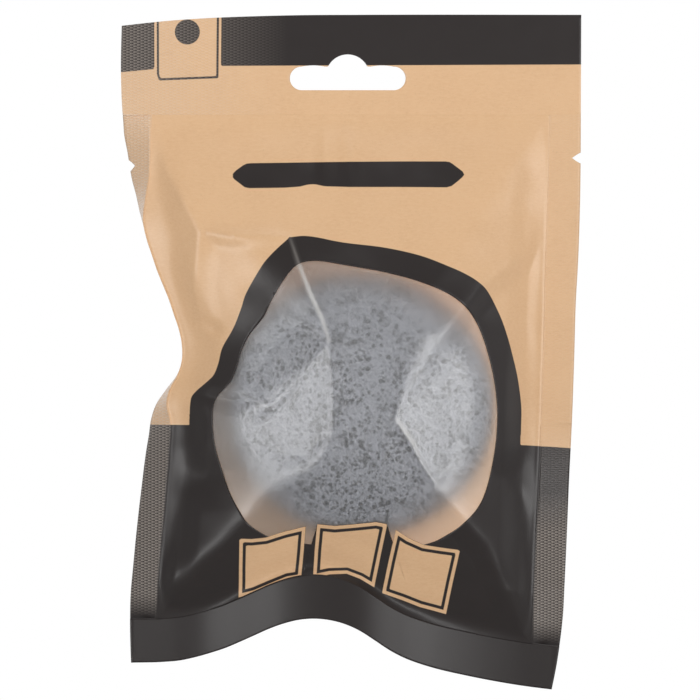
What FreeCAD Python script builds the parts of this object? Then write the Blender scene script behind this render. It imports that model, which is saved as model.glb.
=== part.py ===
"""Round konjac sponge sealed in a flat hanging sachet with a frosted window.

Millimetres. +X is to the right of someone facing the sachet, +Z is up and the front looks along -Y.
The origin is the centre of the hang slot, halfway through the welded header.
"""

import FreeCAD, Part
import math
import os

import Sketcher

V = FreeCAD.Vector
TITLE = "konjac_sponge_sachet"
SHEET = "Dimensions"

# The driving sizes: name, value in millimetres or degrees, meaning.
DIMENSIONS = (
    ("sponge_diameter", 75, "across the round sponge"),
    ("sponge_dome", 21, "rise of the domed front above the seam plane"),
    ("sponge_back", 15, "depth of the flat back behind the seam plane"),
    ("sponge_travel", 6, "how far the loose sponge can be pushed up"),
    ("sponge_offset", 4, "sponge centre to the right of the hang slot"),
    ("film_clearance", 1, "film to sponge over the whole travel"),
    ("film_thickness", 0.16, "one printed web"),
    ("window_film_thickness", 0.12, "the frosted film behind the window"),
    ("crease_height", 2.4, "highest crease of the front film above its taut course"),
    ("crease_width", 9, "mean half width of a crease"),
    ("left_gap", 13, "sponge to the left seam at the waist"),
    ("right_gap", 13.4, "sponge to the right seam beside it"),
    ("upper_gap", 43.8, "top of the sponge to the header weld"),
    ("lower_gap", 13.7, "bottom of the sponge to the bottom weld"),
    ("seal_width", 8.6, "width of each side weld"),
    ("bottom_seal_height", 12, "height of the bottom weld"),
    ("left_draw", 8, "how far the left seam is drawn in at the waist"),
    ("left_turn", 88, "angle that the left weld turns backwards at the waist"),
    ("right_draw", 5.4, "how far the right seam is drawn in at the bottom"),
    ("bottom_rise", 16, "height of the arch in the bottom edge"),
    ("bottom_slant", 7.5, "right bottom corner below the left one"),
    ("bottom_wave", 6, "depth of the wave along the bottom edge"),
    ("header_top", 17.8, "slot centre to the top edge"),
    ("header_drop", 10.2, "slot centre to the lower edge of the header weld"),
    ("header_droop", 3.1, "left top corner below the top edge"),
    ("header_droop_length", 53, "length of the top edge that droops"),
    ("slot_width", 32.4, "hang slot, end to end"),
    ("slot_height", 6.6, "hang slot, straight part"),
    ("slot_crown_radius", 6.1, "arc of the crown that centres the hook"),
    ("slot_crown_top", 6.7, "slot centre to the top of the crown"),
    ("window_radius", 40, "mean radius of the window"),
    ("window_offset", 2, "window centre to the left of the sponge centre"),
    ("window_lap", 4, "frosted film behind the printed web, all round"),
    ("notch_depth", 2.3, "tear notch, depth into the weld"),
    ("notch_height", 2.7, "tear notch, height at the edge"),
    ("notch_drop", 12.2, "right tear notch below the header weld"),
    ("notch_step", 2.2, "left tear notch below the right one"),
    ("cutter_reach", 60, "overrun of every cutting prism"),
)

# Shares at equal steps from the header weld down to the bottom weld.
LEFT_DRAW_SHARES = (
    0, -0.1, -0.14, -0.29, -0.19, 0.19, 0.64, 1, 0.98, 0.46, 0.64, 0.55, 0.44, 0.35, 0.26, 0.18, 0.12,
)
LEFT_TURN_SHARES = (0, 0.44, 0.63, 0.9, 1, 1, 1, 1, 1, 0.88, 0.51, 0.43, 0.42, 0.4, 0.37, 0.32, 0.2)
RIGHT_DRAW_SHARES = (
    0, 0.02, 0.04, 0.06, 0.1, 0.18, 0.25, 0.31, 0.36, 0.41, 0.47, 0.55, 0.64, 0.74, 0.84, 0.92, 1,
)
# Shares at equal steps along the bottom edge, from left to right.
ARCH_SHARES = (0, 0.05, 0.18, 0.37, 0.63, 0.87, 1, 0.94, 0.68, 0.39, 0.25, 0.16, 0.09, 0.04, 0)
WAVE_SHARES = (0.4, 0.2, 0, -0.4, -0.8, -1, -1, -0.7, -0.3, 0, 0.2, 0.3)
# Shares of the window's mean radius at equal angles, counter-clockwise from +X.
WINDOW_RADIUS_SHARES = (
    0.986, 0.985, 1.02, 0.984, 0.94, 0.956, 1.048, 0.945, 0.878, 0.864,
    0.982, 1.017, 1.069, 1.109, 1.009, 0.981, 1.031, 1.113, 1.097, 1.023,
)

# Creases of the front film: places along each ridge as shares across and down the pocket, its height
# there as a share of the highest, and its half widths to either side as shares of the mean.
CREASE_SHARES = (
    (
        ((0, 0.05), (0.06, 0.15), (0.12, 0.25), (0.24, 0.26), (0.35, 0.26)),
        (0.1, 0.65, 1, 0.7, 0.7), (1.1, 1.3),
    ),
    (((0.12, 0.25), (0.1, 0.36), (0.13, 0.47)), (1, 0.5, 0), (0.8, 0.7)),
    (
        ((0.35, 0.26), (0.4, 0.38), (0.44, 0.47), (0.45, 0.57), (0.44, 0.67)),
        (0.7, 0.7, 0.6, 0.5, 0.5), (1.5, 0.6),
    ),
    (((0.44, 0.67), (0.39, 0.74), (0.25, 0.86), (0.05, 0.98)), (0.5, 0.5, 0.95, 1), (1, 1.3)),
    (
        ((0.99, 0.24), (0.9, 0.31), (0.82, 0.36), (0.72, 0.46), (0.63, 0.59), (0.61, 0.64)),
        (0.2, 0.75, 0.9, 0.7, 0.45, 0.4), (0.7, 1.6),
    ),
    (
        ((0.61, 0.64), (0.65, 0.69), (0.72, 0.79), (0.78, 0.84), (0.85, 0.91), (0.89, 1)),
        (0.4, 0.6, 0.7, 0.7, 0.75, 0.9), (1.2, 0.6),
    ),
)

# How full each side of the sponge's section is: an ellipse is 2, and more is squarer.
FRONT_FULLNESS_SHARE = 2.5
BACK_FULLNESS_SHARE = 3.6

# Counts of corner points down the sachet and across its pocket, and of steps over half of the sponge
# and round the window.
ROWS = 26
COLUMNS = 21
PROFILE_STEPS = 8
WINDOW_STEPS = 60

# Quarter, half and full turns, then the numbers of an edge's ends and centre and of the two axes.
QUARTER, HALF, FULL = math.pi / 2, math.pi, 2 * math.pi
START, END, CENTRE = range(1, 4)
X_AXIS, Y_AXIS = range(-1, -3, -1)
ORIGIN_POINT = START

doc = FreeCAD.newDocument(TITLE)
sheet = doc.addObject("Spreadsheet::Sheet", SHEET)
for row, (alias, value, meaning) in enumerate(DIMENSIONS, start=1):
    sheet.set(f"A{row}", alias)
    sheet.set(f"B{row}", str(value))
    sheet.set(f"C{row}", meaning)
    sheet.setAlias(f"B{row}", alias)
doc.recompute()


def size(alias):
    """One driving size, by its name."""
    return float(sheet.get(alias))


def bound(formula):
    """A formula of driving sizes with each name in full."""
    words = formula.split(" ")
    aliases = {name for name, _, _ in DIMENSIONS}
    return " ".join(f"{SHEET}.{word}" if word in aliases else word for word in words)


def along(shares, place):
    """The value of a table of evenly spaced shares at a place from 0 to 1."""
    step = min(max(place, 0), 1) * (len(shares) - 1)
    low = min(int(step), len(shares) - 2)
    return shares[low] + (shares[low + 1] - shares[low]) * (step - low)


# Sizes that follow from the driving ones

sponge_radius = size("sponge_diameter") / 2
sponge_x = size("sponge_offset")
weld_z = -size("header_drop")
sponge_z = weld_z - size("upper_gap") - sponge_radius
floor_z = sponge_z - sponge_radius - size("lower_gap")
sponge_down = (weld_z - sponge_z + sponge_radius) / (weld_z - floor_z)
waist_left = sponge_x - sponge_radius - size("left_gap")
beside_right = sponge_x + sponge_radius + size("right_gap")
seam_left = waist_left - size("left_draw")
seam_right = beside_right + along(RIGHT_DRAW_SHARES, 0.5) * size("right_draw")
header_left = seam_left - size("seal_width")
header_right = seam_right + size("seal_width")


# The header weld, with the hang slot

def fix_point(sketch, geometry, position, across, up):
    """Ties one point of an outline to the origin by two formulas of driving sizes."""
    for kind, formula in (("DistanceX", across), ("DistanceY", up)):
        if formula is None:
            continue
        point = sketch.getPoint(geometry, position)
        value = point.x if kind == "DistanceX" else point.y
        number = sketch.addConstraint(
            Sketcher.Constraint(kind, X_AXIS, ORIGIN_POINT, geometry, position, value)
        )
        sketch.setExpression(f"Constraints[{number}]", bound(formula))


def join(sketch, pairs, kind="Coincident"):
    """Joins the end of one edge to the start of the next, for each pair of edges."""
    for first, second in pairs:
        sketch.addConstraint(Sketcher.Constraint(kind, first, END, second, START))


def plane_sketch(body, name, role):
    """An outline on one of the piece's own middle planes."""
    sketch = body.newObject("Sketcher::SketchObject", name)
    plane = [feature for feature in body.Origin.OriginFeatures if feature.Role == role][0]
    sketch.AttachmentSupport = [(plane, "")]
    sketch.MapMode = "FlatFace"
    doc.recompute()
    return sketch


def line(x0, z0, x1, z1):
    return Part.LineSegment(V(x0, z0, 0), V(x1, z1, 0))


def arc(x, z, radius, first, last):
    return Part.ArcOfCircle(Part.Circle(V(x, z, 0), V(0, 0, 1), radius), first, last)


def draw_header(sketch):
    """The header's outline: square at the bottom and the right, drooping to its left top corner."""
    top, drop, droop, length = (size(name) for name in (
        "header_top", "header_drop", "header_droop", "header_droop_length"))
    bend = header_left + length
    radius = (length ** 2 + droop ** 2) / (2 * droop)
    sketch.addGeometry([
        line(header_left, -drop, header_right, -drop),
        line(header_right, -drop, header_right, top),
        line(header_right, top, bend, top),
        arc(bend, top - radius, radius, QUARTER, QUARTER + math.asin(length / radius)),
        line(header_left, top - droop, header_left, -drop),
    ])
    join(sketch, ((0, 1), (1, 2), (3, 4), (4, 0)))
    sketch.addConstraint(Sketcher.Constraint("Tangent", 2, END, 3, START))
    left = (
        "sponge_offset - sponge_diameter / 2 - left_gap - left_draw - seal_width"
    )
    right = (
        "sponge_offset + sponge_diameter / 2 + right_gap + seal_width"
        f" + right_draw * {along(RIGHT_DRAW_SHARES, 0.5)}"
    )
    fix_point(sketch, 0, START, left, "0 - header_drop")
    fix_point(sketch, 0, END, right, "0 - header_drop")
    fix_point(sketch, 1, END, right, "header_top")
    fix_point(sketch, 2, END, f"{left} + header_droop_length", "header_top")
    fix_point(sketch, 3, END, left, "header_top - header_droop")


def draw_slot(sketch):
    """A round-ended slot with a crown over its middle, where the hook settles."""
    end = size("slot_height") / 2
    reach = size("slot_width") / 2 - end
    crown = size("slot_crown_radius")
    centre = size("slot_crown_top") - crown
    rise = math.asin((end - centre) / crown)
    foot = crown * math.cos(rise)
    sketch.addGeometry([
        line(-reach, -end, reach, -end),
        arc(reach, 0, end, -QUARTER, QUARTER),
        line(reach, end, foot, end),
        arc(0, centre, crown, rise, HALF - rise),
        line(-foot, end, -reach, end),
        arc(-reach, 0, end, QUARTER, QUARTER + HALF),
    ])
    join(sketch, ((2, 3), (3, 4)))
    join(sketch, ((0, 1), (1, 2), (4, 5), (5, 0)), "Tangent")
    for edge in (0, 2, 4):
        sketch.addConstraint(Sketcher.Constraint("Horizontal", edge))
    fix_point(sketch, 1, CENTRE, "slot_width / 2 - slot_height / 2", None)
    fix_point(sketch, 5, CENTRE, "slot_height / 2 - slot_width / 2", None)
    for edge, axis in ((1, X_AXIS), (5, X_AXIS), (3, Y_AXIS)):
        sketch.addConstraint(Sketcher.Constraint("PointOnObject", edge, CENTRE, axis))
    fix_point(sketch, 3, CENTRE, None, "slot_crown_top - slot_crown_radius")
    for edge, value, formula in ((1, end, "slot_height / 2"), (3, crown, "slot_crown_radius")):
        number = sketch.addConstraint(Sketcher.Constraint("Radius", edge, value))
        sketch.setExpression(f"Constraints[{number}]", bound(formula))


def make_header():
    """Both webs welded flat into one plate, with the slot punched through."""
    body = doc.addObject("PartDesign::Body", "header_seal")
    outline = plane_sketch(body, "header_outline", "XZ_Plane")
    draw_header(outline)
    plate = body.newObject("PartDesign::Pad", "header_plate")
    plate.Profile = outline
    plate.SideType = "Symmetric"
    plate.setExpression("Length", bound("2 * film_thickness"))
    doc.recompute()
    slot = plane_sketch(body, "slot_outline", "XZ_Plane")
    draw_slot(slot)
    punch = body.newObject("PartDesign::Pocket", "hang_slot")
    punch.Profile = slot
    punch.SideType = "Symmetric"
    punch.setExpression("Length", bound("cutter_reach"))
    doc.recompute()
    return body


# The sponge

def fullness_share(side):
    """How full the sponge's section is on one side: side is -1 at the front and 1 at the back."""
    return FRONT_FULLNESS_SHARE if side < 0 else BACK_FULLNESS_SHARE


def section_shares(side):
    """Points of half the section from the axis to the seam plane: shares of radius and depth."""
    power = 2 / fullness_share(side)
    angles = [QUARTER * step / PROFILE_STEPS for step in range(PROFILE_STEPS + 1)]
    points = [(math.sin(angle) ** power, math.cos(angle) ** power) for angle in angles]
    return points[:-1] + [(1, 0)]


def make_sponge():
    """A full dome on a flatter round back, turned about its own axis, which points to the back."""
    body = doc.addObject("PartDesign::Body", "konjac_sponge")
    sketch = plane_sketch(body, "sponge_profile", "XY_Plane")
    radius, dome, back = sponge_radius, size("sponge_dome"), size("sponge_back")
    front = [(across, "sponge_dome * -1", -dome, depth) for across, depth in section_shares(-1)]
    rear = [(across, "sponge_back", back, depth) for across, depth in reversed(section_shares(1))]
    corners = front + rear[1:]
    ends = zip(corners, corners[1:] + corners[:1])
    sketch.addGeometry([
        line(radius * start[0], start[2] * start[3], radius * end[0], end[2] * end[3])
        for start, end in ends
    ])
    count = len(corners)
    join(sketch, [(edge, (edge + 1) % count) for edge in range(count)])
    for edge, (across, depth_size, _, depth) in enumerate(corners):
        fix_point(
            sketch, edge, START,
            f"sponge_diameter / 2 * {across:.6f}", f"{depth_size} * {depth:.6f}",
        )
    turn = body.newObject("PartDesign::Revolution", "sponge_turn")
    turn.Profile = sketch
    turn.ReferenceAxis = (sketch, ["V_Axis"])
    turn.Angle = math.degrees(FULL)
    body.setExpression("Placement.Base.x", bound("sponge_offset"))
    body.setExpression("Placement.Base.z", bound("0 - header_drop - upper_gap - sponge_diameter / 2"))
    doc.recompute()
    return body


# The film's course over the sponge

def taut(points):
    """The upper line of a film stretched over these points, as a function of the place along it."""
    hull = []
    for point in sorted(points):
        while len(hull) > 1:
            (x0, y0), (x1, y1) = hull[-2:]
            if (x1 - x0) * (point[1] - y0) < (y1 - y0) * (point[0] - x0):
                break
            hull.pop()
        hull.append(point)

    def height(place):
        for (x0, y0), (x1, y1) in zip(hull, hull[1:]):
            if place <= x1:
                return y0 + (y1 - y0) * (place - x0) / (x1 - x0)
        return hull[-1][1]

    return height


def film_points(side):
    """Points along half of the sponge's section, one clearance outside it."""
    clearance = size("film_clearance")
    height = size("sponge_dome") if side < 0 else size("sponge_back")
    return [
        ((sponge_radius + clearance) * across, (height + clearance) * depth)
        for across, depth in section_shares(side)
    ]


def film_rise(section, point, down):
    """How far the film lies from the seam plane: taut from the sponge outwards to the first weld."""
    travel = size("sponge_travel")
    sideways, upwards = point.x - sponge_x, point.z - sponge_z
    upwards -= min(max(upwards, 0), travel)
    radius = math.hypot(sideways, upwards)
    ways = (
        (sideways, right_seam(down) - sponge_x),
        (-sideways, sponge_x - left_seam(down)),
        (upwards, weld_z - sponge_z - travel),
        (-upwards, sponge_z - weld_top(point.x)),
    )
    reaches = [reach * radius / way for way, reach in ways if way > 0]
    if not reaches:
        return section[0][1]
    return taut(section + [(min(reaches), 0)])(radius)


def crease_rise(point):
    """How far the creases lift the front film above its taut course."""
    width, height = seam_right - seam_left, floor_z - weld_z
    rise = 0
    for route, heights, widths in CREASE_SHARES:
        places = [(seam_left + width * across, weld_z + height * down) for across, down in route]
        for (x0, z0), (x1, z1), rise0, rise1 in zip(places, places[1:], heights, heights[1:]):
            run, drop = x1 - x0, z1 - z0
            place = ((point.x - x0) * run + (point.z - z0) * drop) / (run ** 2 + drop ** 2)
            place = min(max(place, 0), 1)
            sideways, upwards = point.x - x0 - place * run, point.z - z0 - place * drop
            half_width = widths[0] if run * upwards > drop * sideways else widths[1]
            slope = 1 - math.hypot(sideways, upwards) / (size("crease_width") * half_width)
            rise = max(rise, (rise0 + (rise1 - rise0) * place) * slope)
    return size("crease_height") * rise


# The film's edges

def left_seam(down):
    return seam_left + size("left_draw") * along(LEFT_DRAW_SHARES, down)


def right_seam(down):
    return seam_right - size("right_draw") * along(RIGHT_DRAW_SHARES, down)


def left_normal(down):
    """Which way the front of the left weld looks."""
    turn = math.radians(size("left_turn")) * along(LEFT_TURN_SHARES, down)
    return V(-math.sin(turn), -math.cos(turn), 0)


def right_normal(down):
    return V(0, -1, 0)


def arch(place):
    """Height of the bottom edge above its lowest corner, at a place from left to right."""
    return size("bottom_rise") * along(ARCH_SHARES, place) + size("bottom_slant") * (1 - place)


def seam_share(x):
    """Where an x at the bottom lies between the sachet's left and right edges."""
    left, right = left_seam(1) - size("seal_width"), right_seam(1) + size("seal_width")
    return (x - left) / (right - left)


def weld_top(x):
    """Height of the bottom weld's upper edge."""
    return floor_z + arch(seam_share(x)) - arch(seam_share(sponge_x))


def wave(x, down):
    """How far the sachet's middle plane lies behind the header's: only below the sponge."""
    below = max((down - sponge_down) / (1 - sponge_down), 0)
    return size("bottom_wave") * along(WAVE_SHARES, seam_share(x)) * below ** 1.5


def middle(x, down):
    """A point of the middle plane."""
    return V(x, wave(x, down), weld_z + (weld_top(x) - weld_z) * down)


def pocket_row(down):
    """The columns' places across the pocket, from seam to seam."""
    left, right = left_seam(down), right_seam(down)
    return [left + (right - left) * column / (COLUMNS - 1) for column in range(COLUMNS)]


# Grids of corner points: rows run down, columns run to the right

def pocket_grid(side):
    """The pocket's inner face on one side: -1 is the front, which has the creases, and 1 the back."""
    section = film_points(side)
    grid = []
    for row in range(ROWS):
        down = row / (ROWS - 1)
        points = [middle(x, down) for x in pocket_row(down)]
        points = [point + V(0, side * film_rise(section, point, down), 0) for point in points]
        if side < 0 and 0 < row < ROWS - 1:
            points[1:-1] = [point - V(0, crease_rise(point), 0) for point in points[1:-1]]
        grid.append(points)
    return grid


def weld_point(seam, outwards, down):
    """A point beside the seam, no further down than the sachet reaches there."""
    point = middle((seam + outwards).x, down)
    return V(point.x, (seam + outwards).y, point.z)


def left_weld_grid():
    """The left weld's middle plane, which turns backwards at the waist."""
    grid = []
    for row in range(ROWS):
        down = row / (ROWS - 1)
        seam, normal = middle(left_seam(down), down), left_normal(down)
        outwards = V(normal.y, -normal.x, 0) * size("seal_width")
        grid.append([weld_point(seam, outwards, down), seam])
    return grid


def right_weld_grid():
    """The right weld's middle plane, flat all the way."""
    grid = []
    for row in range(ROWS):
        down = row / (ROWS - 1)
        seam, outwards = middle(right_seam(down), down), V(size("seal_width"), 0, 0)
        grid.append([seam, weld_point(seam, outwards, down)])
    return grid


def bottom_grid(top_row):
    """The bottom weld below one row of points: it follows the arch at its full height."""
    height = V(0, 0, size("bottom_seal_height"))
    return [top_row, [point - height for point in top_row]]


def edge_normals(grid, side):
    """Normals of a pocket grid, which at its edges are those of the welds that it runs into."""
    normals = []
    for row, points in enumerate(grid):
        down = row / (len(grid) - 1)
        line_of_normals = []
        for column in range(len(points)):
            if column == 0:
                normal = left_normal(down) * -side
            elif column == len(points) - 1:
                normal = right_normal(down) * -side
            elif row in (0, len(grid) - 1):
                normal = V(0, side, 0)
            else:
                sideways = points[column + 1] - points[column - 1]
                downwards = grid[row + 1][column] - grid[row - 1][column]
                normal = sideways.cross(downwards).normalize()
                if normal.y * side < 0:
                    normal = -normal
            line_of_normals.append(normal)
        normals.append(line_of_normals)
    return normals


def weld_normals(grid, normal_at):
    """Front normals of a side weld."""
    return [[normal_at(row / (len(grid) - 1))] * len(points) for row, points in enumerate(grid)]


def offset(grid, normals, distance):
    return [
        [point + normal * distance for point, normal in zip(points, directions)]
        for points, directions in zip(grid, normals)
    ]


# Solids from grids

def triangle(*corners):
    return Part.Face(Part.makePolygon(corners + corners[:1]))


def facets(grid, falling):
    """Two flat triangles for each cell of a grid, split along the diagonal that the flags name."""
    faces = []
    for upper, lower, flags in zip(grid, grid[1:], falling):
        for column, falls in enumerate(flags):
            a, b, c, d = upper[column], upper[column + 1], lower[column + 1], lower[column]
            halves = ((a, b, c), (a, c, d)) if falls else ((a, b, d), (b, c, d))
            faces += [triangle(*corners) for corners in halves]
    return faces


def outward_diagonals(grid):
    """Whether the falling diagonal of each cell lies further from the header's plane than the other."""
    return [
        [
            abs((upper[column] + lower[column + 1]).y) >= abs((upper[column + 1] + lower[column]).y)
            for column in range(len(upper) - 1)
        ]
        for upper, lower in zip(grid, grid[1:])
    ]


def rim(front, back):
    """The narrow face of a sheet between two of its edges."""
    return facets([front, back], [[True] * (len(front) - 1)])


def sheet_solid(*layers):
    """A closed sheet between pairs of grids that lie side by side, given from left to right."""
    faces = []
    for front, back in layers:
        falling = outward_diagonals(front)
        faces += facets(front, falling) + facets(back, falling)
        faces += rim(front[0], back[0]) + rim(front[-1], back[-1])
    for (front, back), column in ((layers[0], 0), (layers[-1], -1)):
        faces += rim([points[column] for points in front], [points[column] for points in back])
    shell = Part.makeShell(faces)
    shell.sewShape()
    solid = Part.Solid(shell)
    if solid.Volume < 0:
        solid.reverse()
    return solid


def feature(name, shape):
    """A piece, or a stage of one, with a shape of its own."""
    made = doc.addObject("Part::Feature", name)
    made.Shape = shape
    made.Placement = FreeCAD.Placement()
    return made


def boolean(kind, name, base, tool):
    """A named piece: the base without the cutter, or what both share, as the kind says."""
    made = doc.addObject(kind, name)
    made.Base, made.Tool = base, tool
    return made


def prism(name, wire):
    """A cutting prism that runs right through the sachet along Y."""
    outline = feature(f"{name}_outline", Part.Face(wire))
    made = doc.addObject("Part::Extrusion", name)
    made.Base = outline
    made.DirMode = "Custom"
    made.Dir = V(0, 1, 0)
    made.Symmetric = True
    made.Solid = True
    made.setExpression("LengthFwd", bound("2 * cutter_reach"))
    return made


def window_wire(margin):
    """The window's outline, which the folds of the film pull out of round."""
    x, z = sponge_x - size("window_offset"), sponge_z
    points = []
    for step, share in enumerate(WINDOW_RADIUS_SHARES):
        angle = FULL * step / len(WINDOW_RADIUS_SHARES)
        radius = size("window_radius") * share + margin
        points.append(V(x + radius * math.cos(angle), 0, z + radius * math.sin(angle)))
    curve = Part.BSplineCurve()
    curve.interpolate(Points=points, PeriodicFlag=True)
    corners = curve.toShape().discretize(Number=WINDOW_STEPS + 1)[:-1]
    return Part.makePolygon(corners + corners[:1])


def notch_wire(tip_x, inward, z, flatness):
    """A tear notch: a wedge that opens outwards from its tip, past the edge of a turned weld."""
    reach = size("seal_width")
    half = size("notch_height") / 2 * reach / (size("notch_depth") * flatness)
    tip = V(tip_x, 0, z)
    mouth_x = tip_x - inward * reach
    return Part.makePolygon([tip, V(mouth_x, 0, z + half), V(mouth_x, 0, z - half), tip])


def make_webs():
    """The printed front and back webs and the frosted film behind the window."""
    web, pane = size("film_thickness"), size("window_film_thickness")
    inner = pocket_grid(-1)
    normals = edge_normals(inner, -1)
    front = feature("front_web", sheet_solid((offset(inner, normals, web), inner)))
    frosted = feature("frosted_web", sheet_solid((inner, offset(inner, normals, -pane))))
    inner = pocket_grid(1)
    back = sheet_solid((offset(inner, edge_normals(inner, 1), web), inner))
    return [
        boolean("Part::Cut", "front_panel", front, prism("window_opening", window_wire(0))),
        boolean("Part::Common", "window_film", frosted, prism("window_lap", window_wire(size("window_lap")))),
        feature("back_panel", back),
    ]


def welded(grids_and_normals):
    """A weld as thick as both webs, from middle grids that lie side by side."""
    web = size("film_thickness")
    return sheet_solid(*(
        (offset(grid, normals, web), offset(grid, normals, -web))
        for grid, normals in grids_and_normals
    ))


def make_welds():
    """The side welds with their tear notches, and the bottom weld below them."""
    left, right = left_weld_grid(), right_weld_grid()
    left_normals, right_normals = weld_normals(left, left_normal), weld_normals(right, right_normal)
    floor = [middle(x, 1) for x in pocket_row(1)]
    bottoms = [bottom_grid(row) for row in (left[-1], floor, right[-1])]
    ends = (left_normal(1), V(0, -1, 0), right_normal(1))
    normals = [[[end] * len(row) for row in grid] for grid, end in zip(bottoms, ends)]
    normals[1] = [[ends[0]] + row[1:] for row in normals[1]]
    notch_z = weld_z - size("notch_drop")
    sides = (
        ("left_side_seal", left, left_normals, left_seam, left_normal, 1, notch_z - size("notch_step")),
        ("right_side_seal", right, right_normals, right_seam, right_normal, -1, notch_z),
    )
    made = [feature("bottom_seal", welded(zip(bottoms, normals)))]
    for name, grid, directions, seam, normal, inward, z in sides:
        strip = feature(f"{name}_strip", welded([(grid, directions)]))
        down = (weld_z - z) / (weld_z - grid[-1][0].z)
        flatness = -normal(down).y
        tip = seam(down) - inward * (size("seal_width") - size("notch_depth")) * flatness
        notch = prism(f"{name}_notch", notch_wire(tip, inward, z, flatness))
        made.append(boolean("Part::Cut", name, strip, notch))
    return made


pieces = [make_header(), make_sponge()] + make_webs() + make_welds()
doc.recompute()

for piece in doc.Objects:
    faults = {"Invalid", "Error"} & set(piece.State)
    if faults:
        raise RuntimeError(f"{piece.Label} is {', '.join(faults)}")
for piece in pieces:
    if piece.Shape.isNull() or not piece.Shape.isValid():
        raise RuntimeError(f"{piece.Label} has no valid shape")

os.makedirs("parts", exist_ok=True)
for piece in pieces:
    piece.Shape.exportStep(f"parts/{piece.Label}.step")
    print(f"{piece.Label}: {len(piece.Shape.Solids)} solid, {piece.Shape.Volume:.1f} mm3")
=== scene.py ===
"""A konjac sponge sealed in its hanging sachet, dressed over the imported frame.

Tables are in millimetres: x to the right and z up from the centre of the hang slot, as seen from the front.
"""

import math

import bmesh
import bpy
import numpy as np
from bpy.props import FloatProperty, FloatVectorProperty, PointerProperty
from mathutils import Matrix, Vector, noise


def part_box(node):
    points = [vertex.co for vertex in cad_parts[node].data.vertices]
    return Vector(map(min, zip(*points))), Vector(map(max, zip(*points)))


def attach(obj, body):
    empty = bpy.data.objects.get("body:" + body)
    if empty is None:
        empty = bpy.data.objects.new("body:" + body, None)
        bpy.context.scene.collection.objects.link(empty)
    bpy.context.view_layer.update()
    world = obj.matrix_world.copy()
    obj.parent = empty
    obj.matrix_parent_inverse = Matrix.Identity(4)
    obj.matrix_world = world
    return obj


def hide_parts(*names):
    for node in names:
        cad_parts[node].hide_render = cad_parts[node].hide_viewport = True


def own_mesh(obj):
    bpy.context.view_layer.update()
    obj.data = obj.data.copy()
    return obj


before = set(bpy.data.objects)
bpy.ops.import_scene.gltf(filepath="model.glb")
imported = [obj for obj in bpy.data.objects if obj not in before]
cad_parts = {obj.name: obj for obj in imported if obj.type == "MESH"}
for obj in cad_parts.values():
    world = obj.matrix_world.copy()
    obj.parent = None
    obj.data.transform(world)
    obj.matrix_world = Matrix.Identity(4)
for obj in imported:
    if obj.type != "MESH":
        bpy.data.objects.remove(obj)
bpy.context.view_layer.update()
# Boxes of the frame that sizes come from, rounded there because its round solids are made of facets.
HEADER_LOW, HEADER_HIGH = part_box("header_seal")
SPONGE_LOW, SPONGE_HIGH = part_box("konjac_sponge")
SPONGE_MIDDLE = (SPONGE_LOW + SPONGE_HIGH) / 2

bl_info = {
    "name": "Konjac sponge sachet",
    "version": (1, 0, 0),
    "blender": (4, 5, 0),
    "location": "View3D > Sidebar > Sachet",
    "description": "Models a round sponge in its creased hanging sachet",
    "category": "Add Mesh",
}

MM = 0.001
TO_FRONT, TO_BACK, UPWARDS = Vector((0, -1, 0)), Vector((0, 1, 0)), Vector((0, 0, 1))

# Edges of the sachet as (z, x) down its sides and (x, z) along its top and bottom.
LEFT_EDGE = (
    (18, -63.2), (1, -63.5), (-7.4, -63.2), (-11.6, -62.9), (-15.8, -62.6), (-20, -61.8), (-28.4, -60.4),
    (-32.6, -59.3), (-36.8, -58.4), (-41, -57.3), (-45.2, -56.2), (-49.4, -54.8), (-53.6, -53.4),
    (-57.8, -51.7), (-62, -50), (-66.2, -48.6), (-70.4, -47.2), (-74.6, -46.4), (-78.8, -46.4),
    (-83, -47.8), (-87.2, -50.9), (-91.4, -53.7), (-95.6, -55.1), (-99.8, -55.7), (-104, -56.4),
    (-108.2, -57), (-112.4, -57.5), (-120.8, -58.5), (-129.2, -59.4), (-137.6, -60.2), (-144, -60.8),
    (-150.2, -61), (-158.6, -60.9), (-172, -60.3),
)
RIGHT_EDGE = (
    (18, 65.4), (-3.2, 65.3), (-36.8, 65), (-51.4, 64.5), (-62, 63.9), (-78.8, 63.4), (-95.6, 62.8),
    (-112.4, 62), (-129.2, 61.3), (-142, 60.7), (-150.2, 60.3), (-158.6, 59.4), (-165, 58.4),
    (-171.4, 57.1),
)
TOP_EDGE = (
    (-63.6, 14.7), (-55.6, 15.6), (-48.1, 16.3), (-38.6, 16.9), (-26, 17.4), (-13.4, 17.7), (3.4, 17.8),
    (65.6, 17.8),
)
BOTTOM_EDGE = (
    (-61.5, -163.7), (-51.2, -163.4), (-47, -163), (-42.8, -162.1), (-38.6, -160.9), (-34.4, -159.5),
    (-30.2, -157.7), (-26, -155.8), (-21.8, -153.9), (-17.6, -152.4), (-13.4, -151.4), (-9.2, -151.1),
    (-5, -151.5), (-0.8, -152.6), (3.4, -154.5), (7.6, -157.2), (11.8, -160), (16, -162.2),
    (20.2, -163.8), (24.4, -165.1), (32.8, -167.1), (41.2, -168.8), (49.6, -170.2), (57.4, -171.2),
    (66, -172.2),
)
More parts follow.
